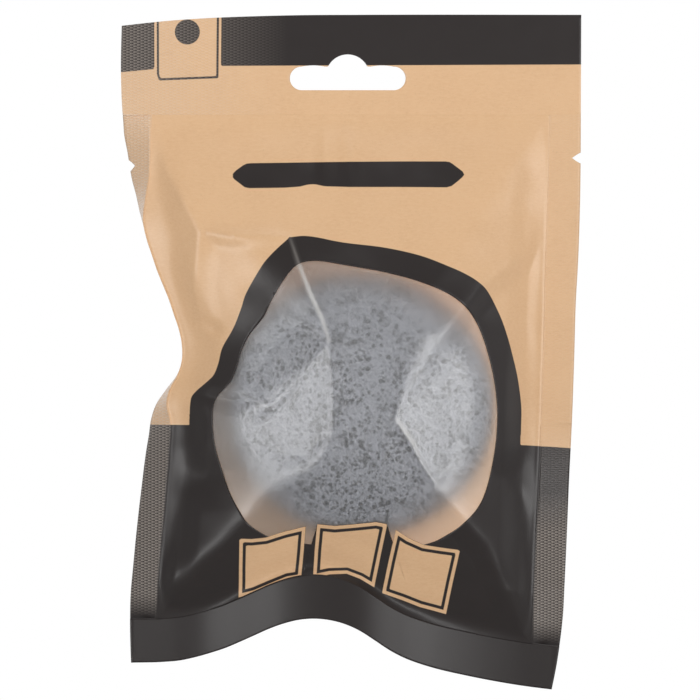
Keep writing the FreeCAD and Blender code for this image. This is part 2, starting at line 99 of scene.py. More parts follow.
# Inner edges of the side welds.
LEFT_SEAM = (
    (-10.2, -54.9), (-16.4, -55.2), (-22.8, -55.3), (-28.4, -55.7), (-34, -56.6), (-39.6, -57.2),
    (-45.2, -56.1), (-49.4, -54.7), (-53.6, -53.3), (-57.8, -51.6), (-62, -49.9), (-66.2, -48.5),
    (-70.4, -47.1), (-74.6, -46.3), (-78.8, -46.3), (-83, -47.5), (-87.2, -49.8), (-91.4, -50.6),
    (-95.6, -49.7), (-104, -49.9), (-112.4, -50.6), (-120.8, -51.3), (-129.2, -52.1), (-141.6, -53.1),
    (-152.8, -53.6), (-172, -54),
)
RIGHT_SEAM = (
    (-10.2, 56.6), (-34, 55.9), (-50.8, 55.4), (-67.6, 55), (-84.4, 54.5), (-98.4, 54.1), (-118, 53.3),
    (-134.8, 52.4), (-146, 52), (-172, 51.8),
)

# Outlines as (x, z). The window in the front web:
WINDOW = (
    (-13.4, -52), (-10.3, -51.3), (-6.9, -51.4), (-2.2, -52.2), (4.8, -53.4), (8.8, -54.1), (13.8, -55.3),
    (18.6, -56.6), (25, -59), (29.8, -61.6), (33.4, -64.8), (36.2, -69.2), (38.4, -74.9), (40.4, -82.5),
    (41.4, -89.2), (41.7, -95.4), (41, -103.8), (39, -113.6), (36.2, -120), (31.4, -125), (27.2, -127.8),
    (23.6, -129.6), (18, -131), (11.3, -131.5), (3.4, -131.2), (-5, -130.6), (-12, -130.1),
    (-17.6, -129.2), (-22.7, -127.8), (-27.6, -124.5), (-30.2, -120.8), (-32.7, -116.1), (-35.2, -109.1),
    (-37.2, -101.8), (-37.7, -94.5), (-37.2, -90.8), (-36, -88.5), (-33.7, -86.1), (-32.1, -83.9),
    (-30.7, -80.2), (-29.7, -76.5), (-28.2, -73.2), (-26.2, -70.3), (-23.4, -66.8), (-21.2, -62.3),
    (-18.1, -57), (-15.6, -53.7),
)
WINDOW_CENTRE = (0.6, -91.5)
# The dark print round the window. A point given twice is a corner.
RING = (
    (-16.2, -44.7), (-16.2, -44.7), (-12.2, -44.3), (-8, -44.8), (-3.8, -45.7), (0.6, -46.4),
    (10.4, -47.6), (20.2, -49.8), (28.1, -52.8), (32.6, -54.8), (36.2, -57), (39, -59.8), (42.4, -66.4),
    (44.3, -71.6), (45.9, -77.4), (47.4, -83.9), (48.4, -91.4), (48.4, -97), (48.2, -102.6),
    (48.2, -102.6), (48.2, -139), (48.2, -139), (-44.2, -139), (-44.2, -139), (-44.2, -97), (-44.2, -97),
    (-43.9, -90.6), (-42.8, -88.1), (-38.8, -84.6), (-37.2, -82.8), (-36, -79.7), (-34.9, -75.4),
    (-31.8, -69.9), (-29.6, -64.3), (-28.2, -60.1), (-24, -52.8), (-21.8, -50), (-19, -47.2),
)
# The dark banner above it, its three pale tags below, and the pale label at the top left.
BANNER = (
    (-32.4, -27.4), (-31.6, -26.2), (-28.7, -24.1), (-27.6, -23.9), (-13.4, -23.7), (0.6, -23.5),
    (14.6, -23.4), (27.6, -23.4), (28.7, -23.6), (32.2, -26.3), (32.6, -27.1), (31.8, -28.1),
    (28.8, -30.5), (27.6, -30.7), (14.6, -30.6), (0.6, -30.6), (-6.4, -30.4), (-9.2, -29.8),
    (-11.1, -29.9), (-13.4, -30.5), (-17.6, -30.8), (-27.4, -30.9), (-28.7, -30.7), (-31.7, -28.4),
)
TAGS = (
    (
        (-30.2, -128.6), (-26.8, -128.7), (-22.9, -128.3), (-17.6, -126.6), (-11.7, -125.2), (-12.3, -132.3),
        (-13, -139.7), (-16.7, -140.3), (-21.8, -142.4), (-26, -144.2), (-30.5, -145.3), (-30.4, -136.8),
    ),
    (
        (-8.5, -124.5), (-3.6, -125), (2, -124.5), (7.9, -123.9), (11, -124.5), (9.2, -133.4), (7.4, -142.4),
        (3.4, -140), (-0.3, -138.6), (-5, -138.8), (-9.7, -139.8), (-9.2, -132),
    ),
    (
        (13.4, -126.1), (16.9, -128.4), (21.1, -130.3), (26.1, -131.1), (31.3, -131.8), (29.3, -141),
        (27.5, -149.9), (23.6, -148.8), (20.2, -147.9), (15.2, -145.9), (9.6, -144), (11.4, -135.1),
    ),
)
LABEL = ((-54.2, 24), (-35.3, 24), (-35.5, 1), (-35.6, -0.6), (-53.3, -1.3), (-54.1, 1))
# The label's frame line is as much thinner than the tags'.
LABEL_LINE_SHARE = 1.4
# Centre and radius of the round mark.
ROUNDEL = (-44.9, 13, 3.5)
# The distance inside a plate where there is none near.
NO_PLATE = -50.0
# The band's lower edge, and the line below which the sachet is dark.
BAND_LINE = ((-70, 1.1), (-54.2, 2.6), (-35.2, 3.5), (20, 3.7), (70, 3.9))
DIVISION = ((-70, -97), (-30, -97), (30, -102.2), (48.2, -102.6), (70, -104))

# The two sharpest folds, over the left and the right of the sponge.
LEFT_FOLD = ((-16, -44.7), (-13.9, -51.4), (-10, -61.2), (-7.2, -67.1), (-5.2, -73.5))
RIGHT_FOLD = ((13.8, -95.4), (15.5, -97.9), (18.3, -101.8), (20.5, -106.6), (25.8, -115.2))

# Creases of the front film: the ridge's route (x, z), its height at each point, its half widths to the left
# and right of the way it runs, and the radius of its top. A height below zero is a valley.
FRONT_CREASES = (
    (((-55.5, -16.5), (-48, -30), (-41.4, -43)), (0.3, 1.8, 2.2), (7, 7), 0.15),
    (((-41.4, -43), (-28, -44.6), (-16, -44.7)), (2.2, 0.9, 0.9), (3, 3.5), 0.2),
    (((-41.4, -43), (-43, -58), (-40, -72)), (2.2, 1.3, 0), (6, 7), 0.5),
    (LEFT_FOLD, (0.6, 0.6, 0.7, 1, 1.3), (12, 7), 0.15),
    (((-5.2, -73.5), (-4.7, -79.6), (-4.2, -85.8), (-5.2, -99)), (1.3, 0.5, 0.4, 0.4), (5, 14), 0.3),
    (((-5.2, -99), (-10.6, -108.5), (-26.2, -123.6), (-48.9, -139.9)), (0.4, 0.8, 1.7, 1.9), (7, 16), 2.6),
    (((-48.9, -139.9), (-53.4, -143.5)), (1.9, 0.3), (8, 8), 1.5),
    (
        ((55.2, -41.9), (45.4, -51.4), (37, -57.8), (25.8, -71.8), (20, -81.5), (16, -88.6), (13.8, -95.4)),
        (0.5, 1.6, 2.1, 2.1, 0.8, 0.8, 1.1), (5, 15), 1.4,
    ),
    (((55.2, -42), (54, -70), (54.1, -98)), (0.8, 1.2, 0.2), (5, 4), 0.5),
    (RIGHT_FOLD, (1.1, 0.9, 0.7, 0.9, 1.9), (9, 4), 0.2),
    (((25.8, -115.2), (32, -122), (39.8, -130.6)), (1.9, 2.2, 2.2), (14, 5), 1.6),
    (((39.8, -130.6), (45, -143), (51, -156.4)), (2.2, 2.2, 0.3), (14, 5), 1.6),
    (((-49.8, -115.2), (-40, -111.9), (-28, -110)), (0, -1.5, 0), (9, 8), 2),
    (((53.6, -120), (44, -112), (36, -108)), (0, -1.4, 0), (9, 8), 2),
    (((-42, -88.4), (-31.8, -90.6), (-22, -89.8)), (-0.4, -1.2, 0), (3, 4), 0.5),
    (((-41.4, -67.6), (-37, -70), (-34.6, -71.8)), (0, -0.9, 0), (2.5, 2.5), 0.5),
    (((-6.4, -6), (-6.4, -22), (-7, -34)), (0, 0.8, 0), (4, 2.5), 0.6),
    (((0.6, -8), (0.8, -22), (2, -40)), (0, 0.9, 0), (2.5, 6), 0.6),
)

# Flat places where the taut film presses the soft sponge: the outline (x, z), a point, the plane's height
# there, what it gains for each millimetre to the right and upwards, how much it bends away to the side, the
# line that it meets sharply, and the softness of its edge there and for each millimetre away from there.
FLATS = (
    (
        (
            (-5.5, -74.5), (-12, -83.5), (-21, -91.5), (-28.5, -89), (-31, -82), (-28, -72), (-20, -64.5),
            (-10, -64),
        ),
        (-13, -81.5), 19.1, (0.46, -0.2), 0.002, ((-7, -74.5), (-22, -89.8)), (0.9, 0.75),
    ),
    (
        (
            (-5, -72.5), (-3.8, -85), (-4.5, -95.3), (-5, -100), (-10.4, -108), (-18, -110), (-26, -106.5),
            (-31.5, -101.5), (-33, -96.5), (-29, -92.3), (-22, -89.8), (-13, -81.5),
        ),
        (-4.2, -85.8), 21.5, (0.26, 0.03), 0.003, ((-5, -72.5), (-5, -99.4)), (0.9, 0.3),
    ),
    (
        (
            (24, -74), (15.4, -88.6), (13.2, -95.4), (17.7, -101.8), (24.6, -114.4), (30, -110), (34, -102),
            (35, -91), (32, -79),
        ),
        (13.8, -95.4), 21.9, (-0.31, 0.03), 0.006, ((13.8, -95.4), (22, -109)), (0.6, 0.4),
    ),
)
# Painted highlights along the sharpest folds: the route and how bright at each point.
PAINTED_FOLD_HIGHLIGHTS = (
    (LEFT_FOLD, (0.35, 0.6, 1, 0.9, 0.5)),
    (RIGHT_FOLD, (0.5, 0.9, 0.7, 0.3, 0)),
)
# Creases of the back film, in the same terms as the front's.
BACK_CREASES = (
    (((-54, -20), (-34, -46), (-20, -66)), (0.2, 1.8, 0), (9, 9), 0.5),
    (((56, -20), (40, -44), (26, -64)), (0.2, 1.6, 0), (9, 9), 0.6),
    (((-50, -140), (-34, -124), (-22, -112)), (0.3, 1.8, 0), (8, 8), 0.5),
    (((50, -146), (38, -126), (26, -112)), (0.3, 1.8, 0), (8, 8), 0.5),
    (((-47, -78), (-34, -84), (-22, -86)), (0.2, 1.3, 0), (6, 6), 0.5),
)
# The wave of the bottom edge, from left to right: the share across, and the share of its depth.
WAVE = (
    (0, 0.4), (0.09, 0.2), (0.18, 0), (0.27, -0.4), (0.36, -0.8), (0.45, -1), (0.55, -1), (0.64, -0.7),
    (0.73, -0.3), (0.82, 0), (0.91, 0.2), (1, 0.3),
)

# How full the sponge's section is: 2 is an ellipse, and more is nearer to a box.
FRONT_FULLNESS = 2.5
BACK_FULLNESS = 3.6
# How square the bulge of the film is towards the welds.
BULGE_SQUARENESS = 14
# The share of the way down at which the bottom's wave begins.
WAVE_START = 0.9
# Widths over which the film leaves the side welds, the header and the bottom weld.
SIDE_BEND, HEADER_BEND, BOTTOM_BEND = 0.9, 4, 5
# Beside the side welds the film hangs to this share of its height, over this width.
HANG_SHARE, HANG_WIDTH = 0.5, 11
# Creases and unevenness fade out over this width at the welds.
EDGE_FADE = 5
# The most that a flat presses the film down.
FLAT_DEPTH = 4
# Unevenness as (height, size of a bump, seed).
FRONT_UNEVEN = ((0.55, 19, 1), (0.16, 7, 2))
PRESSED_UNEVEN = ((0.06, 9, 7),)
BACK_UNEVEN = ((0.5, 19, 3), (0.15, 7, 4))
HEADER_UNEVEN = ((0.5, 40, 5),)
HEADER_FINE_UNEVEN = ((0.05, 6, 6),)
SPONGE_UNEVEN = ((0.1, 1.1), (0.1, 3.2), (0.15, 14))
# The front film is even where it lies on the sponge: up to here, and uneven this much further out.
EVEN_RADIUS, EVEN_FADE = 22, 12
# Small gaps that keep surfaces apart: between the webs, and between the front web and the window film.
WEB_GAP, PANE_GAP = 0.01, 0.03
# How far the bottom weld reaches up behind the webs, and how far the side welds reach down into it.
WELD_LAP, STRIP_LAP = 0.4, 0.3
# Rounds in which a grid's corners settle between edges that depend on each other.
ROUNDS = 6


# Sizes and colours that the pieces are made from, kept with the scene

def length(name, description, default, precision=4):
    """A length among the settings, in metres."""
    return FloatProperty(
        name=name, description=description, default=default, unit="LENGTH", precision=precision)


class SachetSizes(bpy.types.PropertyGroup):
    """Sizes of the sachet."""

    web: length("Web", "Thickness of one printed web", round(HEADER_HIGH.y, 5), 5)
    pane: length("Window film", "Thickness of the frosted film", 0.12 * MM, 5)
    lap: length("Lap", "Frosted film behind the printed web", 4 * MM)
    clearance: length("Clearance", "Film to sponge", 0.3 * MM)
    slack: length("Slack", "Loose film above the resting sponge", 5 * MM)
    weld_line: length("Header weld", "Height of the header weld's lower edge", round(HEADER_LOW.z, 4))
    seal_width: length("Side weld", "Width of each side weld", 8.6 * MM)
    bottom_weld: length("Bottom weld", "Height of the bottom weld", 12 * MM)
    bottom_wave: length("Wave", "Depth of the wave along the bottom edge", 6 * MM)
    rib_pitch: length("Rib pitch", "Spacing of the ribs pressed into the welds", 0.6 * MM, 5)
    rib_depth: length("Rib depth", "Height of the ribs pressed into the welds", 0.025 * MM, 5)
    slot_width: length("Slot", "Hang slot, end to end", 32.4 * MM)
    slot_height: length("Slot height", "Hang slot, straight part", 6.6 * MM)
    crown_radius: length("Crown radius", "Arc over the middle of the slot", 6.1 * MM)
    crown_top: length("Crown top", "Slot centre to the top of the crown", 6.7 * MM)


class SpongeSizes(bpy.types.PropertyGroup):
    """Sizes of the sponge."""

    centre: FloatVectorProperty(
        name="Centre", description="Centre of the sponge's widest section",
        default=(round(SPONGE_MIDDLE.x, 4), 0, round(SPONGE_MIDDLE.z, 4)),
        subtype="XYZ", unit="LENGTH", precision=4)
    diameter: length("Diameter", "Across the round sponge", round(SPONGE_HIGH.z - SPONGE_LOW.z, 4))
    dome: length("Dome", "Rise of the front", -round(SPONGE_LOW.y, 4))
    back: length("Back", "Depth of the flatter back", round(SPONGE_HIGH.y, 4))
    flattest: FloatProperty(
        name="Flattest", description="Share of its depth that the sponge keeps when it is pushed right up",
        default=0.84, subtype="FACTOR", min=0, max=1)


class PackColours(bpy.types.PropertyGroup):
    """Colours of the film, its print and the sponge."""

    ink: FloatVectorProperty(
        name="Ink", description="Dark print", default=(0.016, 0.010, 0.009), subtype="COLOR")
    kraft_dark: FloatVectorProperty(
        name="Kraft, dark", description="Darker mottling of the paper",
        default=(0.775, 0.47, 0.252), subtype="COLOR")
    kraft_light: FloatVectorProperty(
        name="Kraft, light", description="Lighter mottling of the paper",
        default=(0.885, 0.56, 0.312), subtype="COLOR")
    foam_dark: FloatVectorProperty(
        name="Foam, dark", description="Darker cell walls of the sponge",
        default=(0.18, 0.188, 0.213), subtype="COLOR")
    foam_light: FloatVectorProperty(
        name="Foam, light", description="Lighter cell walls of the sponge",
        default=(0.39, 0.405, 0.455), subtype="COLOR")
    floor: FloatVectorProperty(
        name="Floor", description="Pale floor", default=(0.86, 0.86, 0.86), subtype="COLOR")


class StudioSettings(bpy.types.PropertyGroup):
    """Light and camera of the studio."""

    distance: FloatProperty(
        name="Camera distance", description="From the hang slot's plane", default=2.4, unit="LENGTH")
    view_width: length("View width", "Width of the view at the hang slot's plane", 196 * MM)
    view_centre: FloatVectorProperty(
        name="View centre", description="What the camera looks at",
        default=(0.64 * MM, 0, -76.05 * MM), subtype="XYZ", unit="LENGTH", precision=4)
    key: FloatProperty(
        name="Key", description="Power of the left softbox", default=7.5, unit="POWER")
    fill: FloatProperty(
        name="Fill", description="Power of the right softbox", default=6.0, unit="POWER")
    top: FloatProperty(
        name="Top", description="Power of the softbox above", default=3, unit="POWER")
    surround: FloatProperty(
        name="Surround", description="Level of the light from all round", default=0.33)


# Curves and outlines

def curve(points, places):
    """A smooth curve through a table of places and values."""
    table = np.array(sorted(points), float)
    xs, ys = table[:, 0], table[:, 1]
    slopes = np.gradient(ys, xs)
    places = np.clip(np.asarray(places, float), xs[0], xs[-1])
    left = np.clip(np.searchsorted(xs, places) - 1, 0, len(xs) - 2)
    step = xs[left + 1] - xs[left]
    t = (places - xs[left]) / step
    rise = t * t * (3 - 2 * t)
    return (
        ys[left] * (1 - rise) + ys[left + 1] * rise
        + slopes[left] * step * t * (1 - t) ** 2 - slopes[left + 1] * step * t * t * (1 - t)
    )


def rounded(outline, steps=6):
    """A closed outline with a smooth line through its points. A point given twice stays a corner."""
    points = np.array(outline, float)
    before, after = np.roll(points, 1, axis=0), np.roll(points, -1, axis=0)
    beyond = np.roll(points, -2, axis=0)
    out = []
    for step in range(steps):
        t = step / steps
        out.append(0.5 * (
            2 * points + (after - before) * t + (2 * before - 5 * points + 4 * after - beyond) * t ** 2
            + (3 * points - before - 3 * after + beyond) * t ** 3
        ))
    return np.stack(out, axis=1).reshape(-1, 2)


def inside_distance(outline, x, z):
    """Distance to a closed outline: above zero inside it, and below zero outside."""
    outline = np.asarray(outline, float)
    nearest = np.full(x.shape, 1e9)
    inside = np.zeros(x.shape, bool)
    for (x0, z0), (x1, z1) in zip(outline, np.roll(outline, -1, axis=0)):
        dx, dz = x1 - x0, z1 - z0
        length = dx * dx + dz * dz
        if length == 0:
            continue
        t = np.clip(((x - x0) * dx + (z - z0) * dz) / length, 0, 1)
        nearest = np.minimum(nearest, np.hypot(x - x0 - t * dx, z - z0 - t * dz))
        if dz != 0:
            crosses = (z0 > z) != (z1 > z)
            inside ^= crosses & (x < x0 + dx * (z - z0) / dz)
    return np.where(inside, nearest, -nearest)


def eased(share):
    """A share that starts and ends gently."""
    share = np.clip(share, 0, 1)
    return share * share * (3 - 2 * share)


def polar(outline, centre):
    """An outline's radius at any angle round a centre, as a function."""
    points = np.asarray(outline, float) - centre
    angles, radii = np.arctan2(points[:, 1], points[:, 0]), np.hypot(points[:, 0], points[:, 1])
    order = np.argsort(angles)
    angles, radii = angles[order], radii[order]
    angles = np.concatenate((angles[-3:] - 2 * math.pi, angles, angles[:3] + 2 * math.pi))
    radii = np.concatenate((radii[-3:], radii, radii[:3]))
    return lambda angle: np.interp(angle, angles, radii)


# The film's course, in millimetres

def bottom_weld_top(x):
    """The upper edge of the bottom weld."""
    return curve(BOTTOM_EDGE, x) + bpy.context.scene.sachet.bottom_weld / MM


def weld_line():
    """The lower edge of the header weld."""
    return bpy.context.scene.sachet.weld_line / MM


def wave(x, z):
    """How far the sachet's middle plane lies behind the header's: only below the sponge."""
    left, right = LEFT_EDGE[-1][1], RIGHT_EDGE[-1][1]
    down = (weld_line() - z) / (weld_line() - bottom_weld_top(x))
    below = np.clip((down - WAVE_START) / (1 - WAVE_START), 0, 1)
    depth = bpy.context.scene.sachet.bottom_wave / MM
    return depth * curve(WAVE, (x - left) / (right - left)) * below ** 1.5


def sponge_half(front):
    """Depth of the sponge's front or back half, and the power of sine and cosine that gives its section."""
    sponge = bpy.context.scene.sponge
    return (sponge.dome / MM, 2 / FRONT_FULLNESS) if front else (sponge.back / MM, 2 / BACK_FULLNESS)


def sponge_section(side, clearance):
    """Half of the sponge's section from the axis outwards, one clearance outside it."""
    sponge = bpy.context.scene.sponge
    depth, power = sponge_half(side < 0)
    angles = np.linspace(0, math.pi / 2, 60)
    return (
        (sponge.diameter / 2 / MM + clearance) * np.sin(angles) ** power,
        (depth + clearance) * np.maximum(np.cos(angles), 0) ** power,
    )


def film_rise(side, x, z):
    """Height of the film over the middle plane: taut from the sponge out to the nearest weld."""
    scene = bpy.context.scene
    sponge_x, _, sponge_z = (value / MM for value in scene.sponge.centre)
    slack = scene.sachet.slack / MM
    radii, heights = sponge_section(side, scene.sachet.clearance / MM)
    sideways, upwards = x - sponge_x, z - sponge_z
    upwards = upwards - np.clip(upwards, 0, slack)
    radius = np.hypot(sideways, upwards) + 1e-6
    ways = (
        (sideways, curve(RIGHT_SEAM, z) - sponge_x),
        (-sideways, sponge_x - curve(LEFT_SEAM, z)),
        (upwards, weld_line() - sponge_z - slack),
        (-upwards, sponge_z - bottom_weld_top(x)),
    )
    shares = sum((np.maximum(way, 0) / limit) ** BULGE_SQUARENESS + 1e-30 for way, limit in ways)
    reach = radius / shares ** (1 / BULGE_SQUARENESS)
    reaches = np.linspace(radii[-1] + 2, 200, 400)
    slopes, tangents = [], []
    for foot in reaches:
        steepness = heights / (foot - radii)
        best = int(np.argmax(steepness))
        slopes.append(steepness[best])
        tangents.append(radii[best])
    slope, tangent = np.interp(reach, reaches, slopes), np.interp(reach, reaches, tangents)
    on_sponge = np.interp(radius, radii, heights)
    off_sponge = np.maximum(slope * (reach - radius), 0)
    return np.where(radius < tangent, on_sponge, off_sponge)


def beside(start, end, x, z):
    """How far along a line the nearest point of it lies, as a share, and the way from there to each place."""
    dx, dz = end[0] - start[0], end[1] - start[1]
    held = np.clip(((x - start[0]) * dx + (z - start[1]) * dz) / (dx * dx + dz * dz), 0, 1)
    return held, x - start[0] - held * dx, z - start[1] - held * dz


def creased(creases, x, z):
    """What the creases add to the film's height: the highest ridge and the deepest valley of each place."""
    ridges, valleys = np.zeros(x.shape), np.zeros(x.shape)
    for route, heights, widths, radius in creases:
        for start, end, h0, h1 in zip(route, route[1:], heights, heights[1:]):
            held, off_x, off_z = beside(start, end, x, z)
            on_left = (end[0] - start[0]) * off_z - (end[1] - start[1]) * off_x > 0
            width = np.where(on_left, widths[0], widths[1])
            away = np.sqrt(off_x ** 2 + off_z ** 2 + radius ** 2) - radius
            height = (h0 + (h1 - h0) * held) * np.clip(1 - away / width, 0, 1) ** 1.5
            ridges, valleys = np.maximum(ridges, height), np.minimum(valleys, height)
    return ridges + valleys


def ripple(x, z, size, seed):
    """Soft unevenness of about one, with bumps about a size apart."""
    offset = Vector((seed * 7.3, seed * 3.1, seed))
    return np.array([
        noise.noise(Vector((a / size, b / size, 0)) + offset) for a, b in zip(x.ravel(), z.ravel())
    ]).reshape(x.shape)


def uneven(bumps, x, z):
    """Ripples of several sizes, added up."""
    return sum(height * ripple(x, z, size, seed) for height, size, seed in bumps)


def clear_of_welds(x, z):
    """From zero at the welds to one inside them."""
    gaps = np.minimum.reduce([
        x - curve(LEFT_SEAM, z), curve(RIGHT_SEAM, z) - x, weld_line() - z, z - bottom_weld_top(x),
    ])
    return eased(gaps / EDGE_FADE)


def soft_bend(x, z):
    """Eases the bends where the film leaves the welds, and lets it hang a little beside the side welds."""
    beside_weld = np.maximum(np.minimum(x - curve(LEFT_SEAM, z), curve(RIGHT_SEAM, z) - x), 0)
    under_header = np.maximum(weld_line() - z, 0)
    over_bottom = np.maximum(z - bottom_weld_top(x), 0)
    hang = HANG_SHARE + (1 - HANG_SHARE) * eased(beside_weld / HANG_WIDTH)
    side = 1 - np.exp(-(beside_weld / SIDE_BEND) ** 2)
    header = 1 - np.exp(-under_header / HEADER_BEND)
    bottom = 1 - np.exp(-(over_bottom / BOTTOM_BEND) ** 2)
    return hang * side * header * bottom


def painted_fold_highlight(x, z):
    """How strong the painted highlight along the sharpest folds is, from zero to one: the stronger, the
    wider.
    """
    white = np.zeros(x.shape)
    for route, levels in PAINTED_FOLD_HIGHLIGHTS:
        for start, end, level0, level1 in zip(route, route[1:], levels, levels[1:]):
            held, off_x, off_z = beside(start, end, x, z)
            level = level0 + (level1 - level0) * held
            width = 0.35 + 0.25 * level
            white = np.maximum(white, level * np.exp(-(off_x ** 2 + off_z ** 2) / width ** 2))
    return white


def flattened(height, x, z, under=0):
    """The height with the flats laid into it: each meets one line sharply and is softer further off it."""
    for outline, (at_x, at_z), top, (rightwards, upwards), bend, (start, end), (sharp, growth) in FLATS:
        off = x - at_x
        plane = top - under + rightwards * off + upwards * (z - at_z) - bend * off ** 2
        _, off_x, off_z = beside(start, end, x, z)
        soft = sharp + growth * np.hypot(off_x, off_z)
        pressed = FLAT_DEPTH * np.tanh(np.minimum(plane - height, 0) / FLAT_DEPTH)
        change = np.maximum(plane - height, pressed)
        height = height + change * eased(0.5 + inside_distance(outline, x, z) / (2 * soft))
    return height


def front_height(x, z):
    """The front film's y."""
    sponge_x, _, sponge_z = (value / MM for value in bpy.context.scene.sponge.centre)
    off_sponge = np.clip((np.hypot(x - sponge_x, z - sponge_z) - EVEN_RADIUS) / EVEN_FADE, 0, 1)
    bumps = uneven(FRONT_UNEVEN, x, z) * off_sponge + uneven(PRESSED_UNEVEN, x, z)
    relief = clear_of_welds(x, z) * (creased(FRONT_CREASES, x, z) + bumps)
    height = film_rise(-1, x, z) * soft_bend(x, z) + relief
    return wave(x, z) - np.maximum(flattened(height, x, z), 0)


def back_height(x, z):
    """The back film's y."""
    relief = clear_of_welds(x, z) * (creased(BACK_CREASES, x, z) + uneven(BACK_UNEVEN, x, z))
    height = film_rise(1, x, z) * soft_bend(x, z) + relief
    return wave(x, z) + np.maximum(height, 0) + bpy.context.scene.sachet.web / MM + WEB_GAP


# The print, as distances to its outlines

def print_distances(x, z, face=True):
    """Distance inside the dark ink, and inside the nearest pale plate, in millimetres."""
    band = z - np.interp(x, *zip(*BAND_LINE))
    below = np.interp(x, *zip(*DIVISION)) - z
    ink = np.maximum(band, below)
    plate = np.full(x.shape, NO_PLATE)
    if face:
        ink = np.maximum(ink, inside_distance(rounded(RING), x, z))
        ink = np.maximum(ink, inside_distance(BANNER, x, z))
        for tag in TAGS:
            plate = np.maximum(plate, inside_distance(tag, x, z))
        plate = np.maximum(plate, inside_distance(LABEL, x, z) * LABEL_LINE_SHARE)
        ink = np.minimum(ink, -plate)
    return ink, plate


# Meshes

def grid_of_points(columns, rows):
    """A flat grid to be shaped, with the share across and the share down of each of its corners."""
    mesh = bmesh.new()
    bmesh.ops.create_grid(mesh, x_segments=columns, y_segments=rows, size=1)
    mesh.verts.ensure_lookup_table()
    places = np.array([(v.co.x, v.co.y) for v in mesh.verts])
    return mesh, (places[:, 0] + 1) / 2, (1 - places[:, 1]) / 2


def shape_grid(mesh, x, y, z):
    """Moves the grid's corners to their places, given in millimetres."""
    for vert, place in zip(mesh.verts, zip(x, y, z)):
        vert.co = Vector(place) * MM


def to_object(mesh, name, attributes=None, materials=(), faces_to=None):
    """An object from the finished bmesh, smooth, with one value of each attribute per corner."""
    if faces_to is not None:
        mesh.normal_update()
        if sum(face.normal.dot(faces_to) for face in mesh.faces) < 0:
            bmesh.ops.reverse_faces(mesh, faces=mesh.faces)
    for face in mesh.faces:
        face.smooth = True
    data = bpy.data.meshes.new(name)
    for title, values in (attributes or {}).items():
        layer = mesh.verts.layers.float.new(title)
        for vert, value in zip(mesh.verts, values):
            vert[layer] = value
    mesh.to_mesh(data)
    mesh.free()
    piece = bpy.data.objects.new(name, data)
    bpy.context.collection.objects.link(piece)
    for material in materials:
        data.materials.append(material)
    return piece


def thicken(piece, thickness, offset, inner_slot=0):
    """Gives a sheet its thickness: offset 1 grows it along its normals, and -1 against them. Its far side can
    take another of its materials."""
    solid = piece.modifiers.new("Thickness", "SOLIDIFY")
    solid.thickness = thickness
    solid.offset = offset
    solid.use_even_offset = False
    solid.material_offset = inner_slot
    normals = piece.modifiers.new("Normals", "WEIGHTED_NORMAL")
    normals.weight = 100


def dress(piece, body, node):
    """Ties a piece to its body and to the node that it stands for."""
    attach(piece, body)
    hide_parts(node)


def merge_seam(mesh, values):
    """Closes a ring that a grid was bent into, and drops the values of the corners that go."""
    layer = mesh.verts.layers.int.new("order")
    for index, vert in enumerate(mesh.verts):
        vert[layer] = index
    bmesh.ops.remove_doubles(mesh, verts=mesh.verts, dist=1e-7)
    mesh.verts.ensure_lookup_table()
    kept = np.array([vert[layer] for vert in mesh.verts])
    mesh.verts.layers.int.remove(layer)
    return {title: value[kept] for title, value in values.items()}


def first_hit(outline, centre, angles):
    """How far a ray from the centre runs at each angle until it meets an outline."""
    outline = np.asarray(outline, float) - centre
    hit = np.full(angles.shape, 1e3)
    ray_x, ray_z = np.cos(angles), np.sin(angles)
    for (x0, z0), (x1, z1) in zip(outline, np.roll(outline, -1, axis=0)):
        dx, dz = x1 - x0, z1 - z0
        turn = ray_x * dz - ray_z * dx
        turn = np.where(np.abs(turn) < 1e-9, 1e-9, turn)
        reach, along = (x0 * dz - z0 * dx) / turn, (x0 * ray_z - z0 * ray_x) / turn
        hit = np.where((along >= 0) & (along <= 1) & (reach > 0), np.minimum(hit, reach), hit)
    return hit


def along_sides(sides, counts):
    """Points spaced evenly along each side of an outline, so that its corners are kept."""
    out = []
    for side, count in zip(sides, counts):
        side = np.asarray(side, float)
        steps = np.concatenate(((0,), np.cumsum(np.hypot(*np.diff(side, axis=0).T))))
        places = np.linspace(0, steps[-1], count + 1)[:-1]
        out.append(np.stack([np.interp(places, steps, side[:, axis]) for axis in (0, 1)], axis=1))
    out = np.concatenate(out)
    return np.concatenate((out, out[:1]))


def ring_points(inner, outer, across, down):
    """Places on a flat ring: across runs round it and down runs from its inner to its outer outline."""
    index = np.round(across * (len(outer) - 1)).astype(int)
    return inner[index] * (1 - down[:, None]) + outer[index] * down[:, None]


# Materials

COLOUR, NUMBER = "NodeSocketColor", "NodeSocketFloat"
# How fast the print's masks rise at an edge, for each millimetre.
PRINT_EDGE = 7.0
# The frame line inside a tag: how far in its two edges lie.
FRAME_LINE = (0.95, 1.82)
# The pattern pressed into the welds: the width of a column, and the height of a rib with its gap.
CRIMP_COLUMN, CRIMP_ROW = 1.0 * MM, 0.8 * MM
# A painted glow that stands in for light through the paper of the back: its level, and what it gains to the
# right and upwards.
PAINTED_GLOW_LEVEL, PAINTED_GLOW_RIGHTWARDS, PAINTED_GLOW_UPWARDS = 0.16, 0.008 / MM, -0.0015 / MM
PAINTED_GLOW_COLOUR = (0.80, 0.53, 0.32, 1)
NO_LIGHT = (0, 0, 0, 1)
PALE_FIBRE = (0.88, 0.575, 0.33, 1)
DARK_SPECK = (0.50, 0.31, 0.17, 1)
PAINTED_RIB_SHEEN = (0.86, 0.75, 0.66, 1)
FOLD_HIGHLIGHT_FILM = (0.86, 0.8, 0.74, 1)
FROSTED_FILM = (0.965, 0.965, 0.97, 1)
FOLD_HIGHLIGHT_PANE = (0.85, 0.84, 0.82, 1)
CLEAR_PANE = (0.92, 0.92, 0.92, 1)
# Painted shade inside the sponge's open pores.
PORE_SHADE = (0.012, 0.014, 0.02, 1)
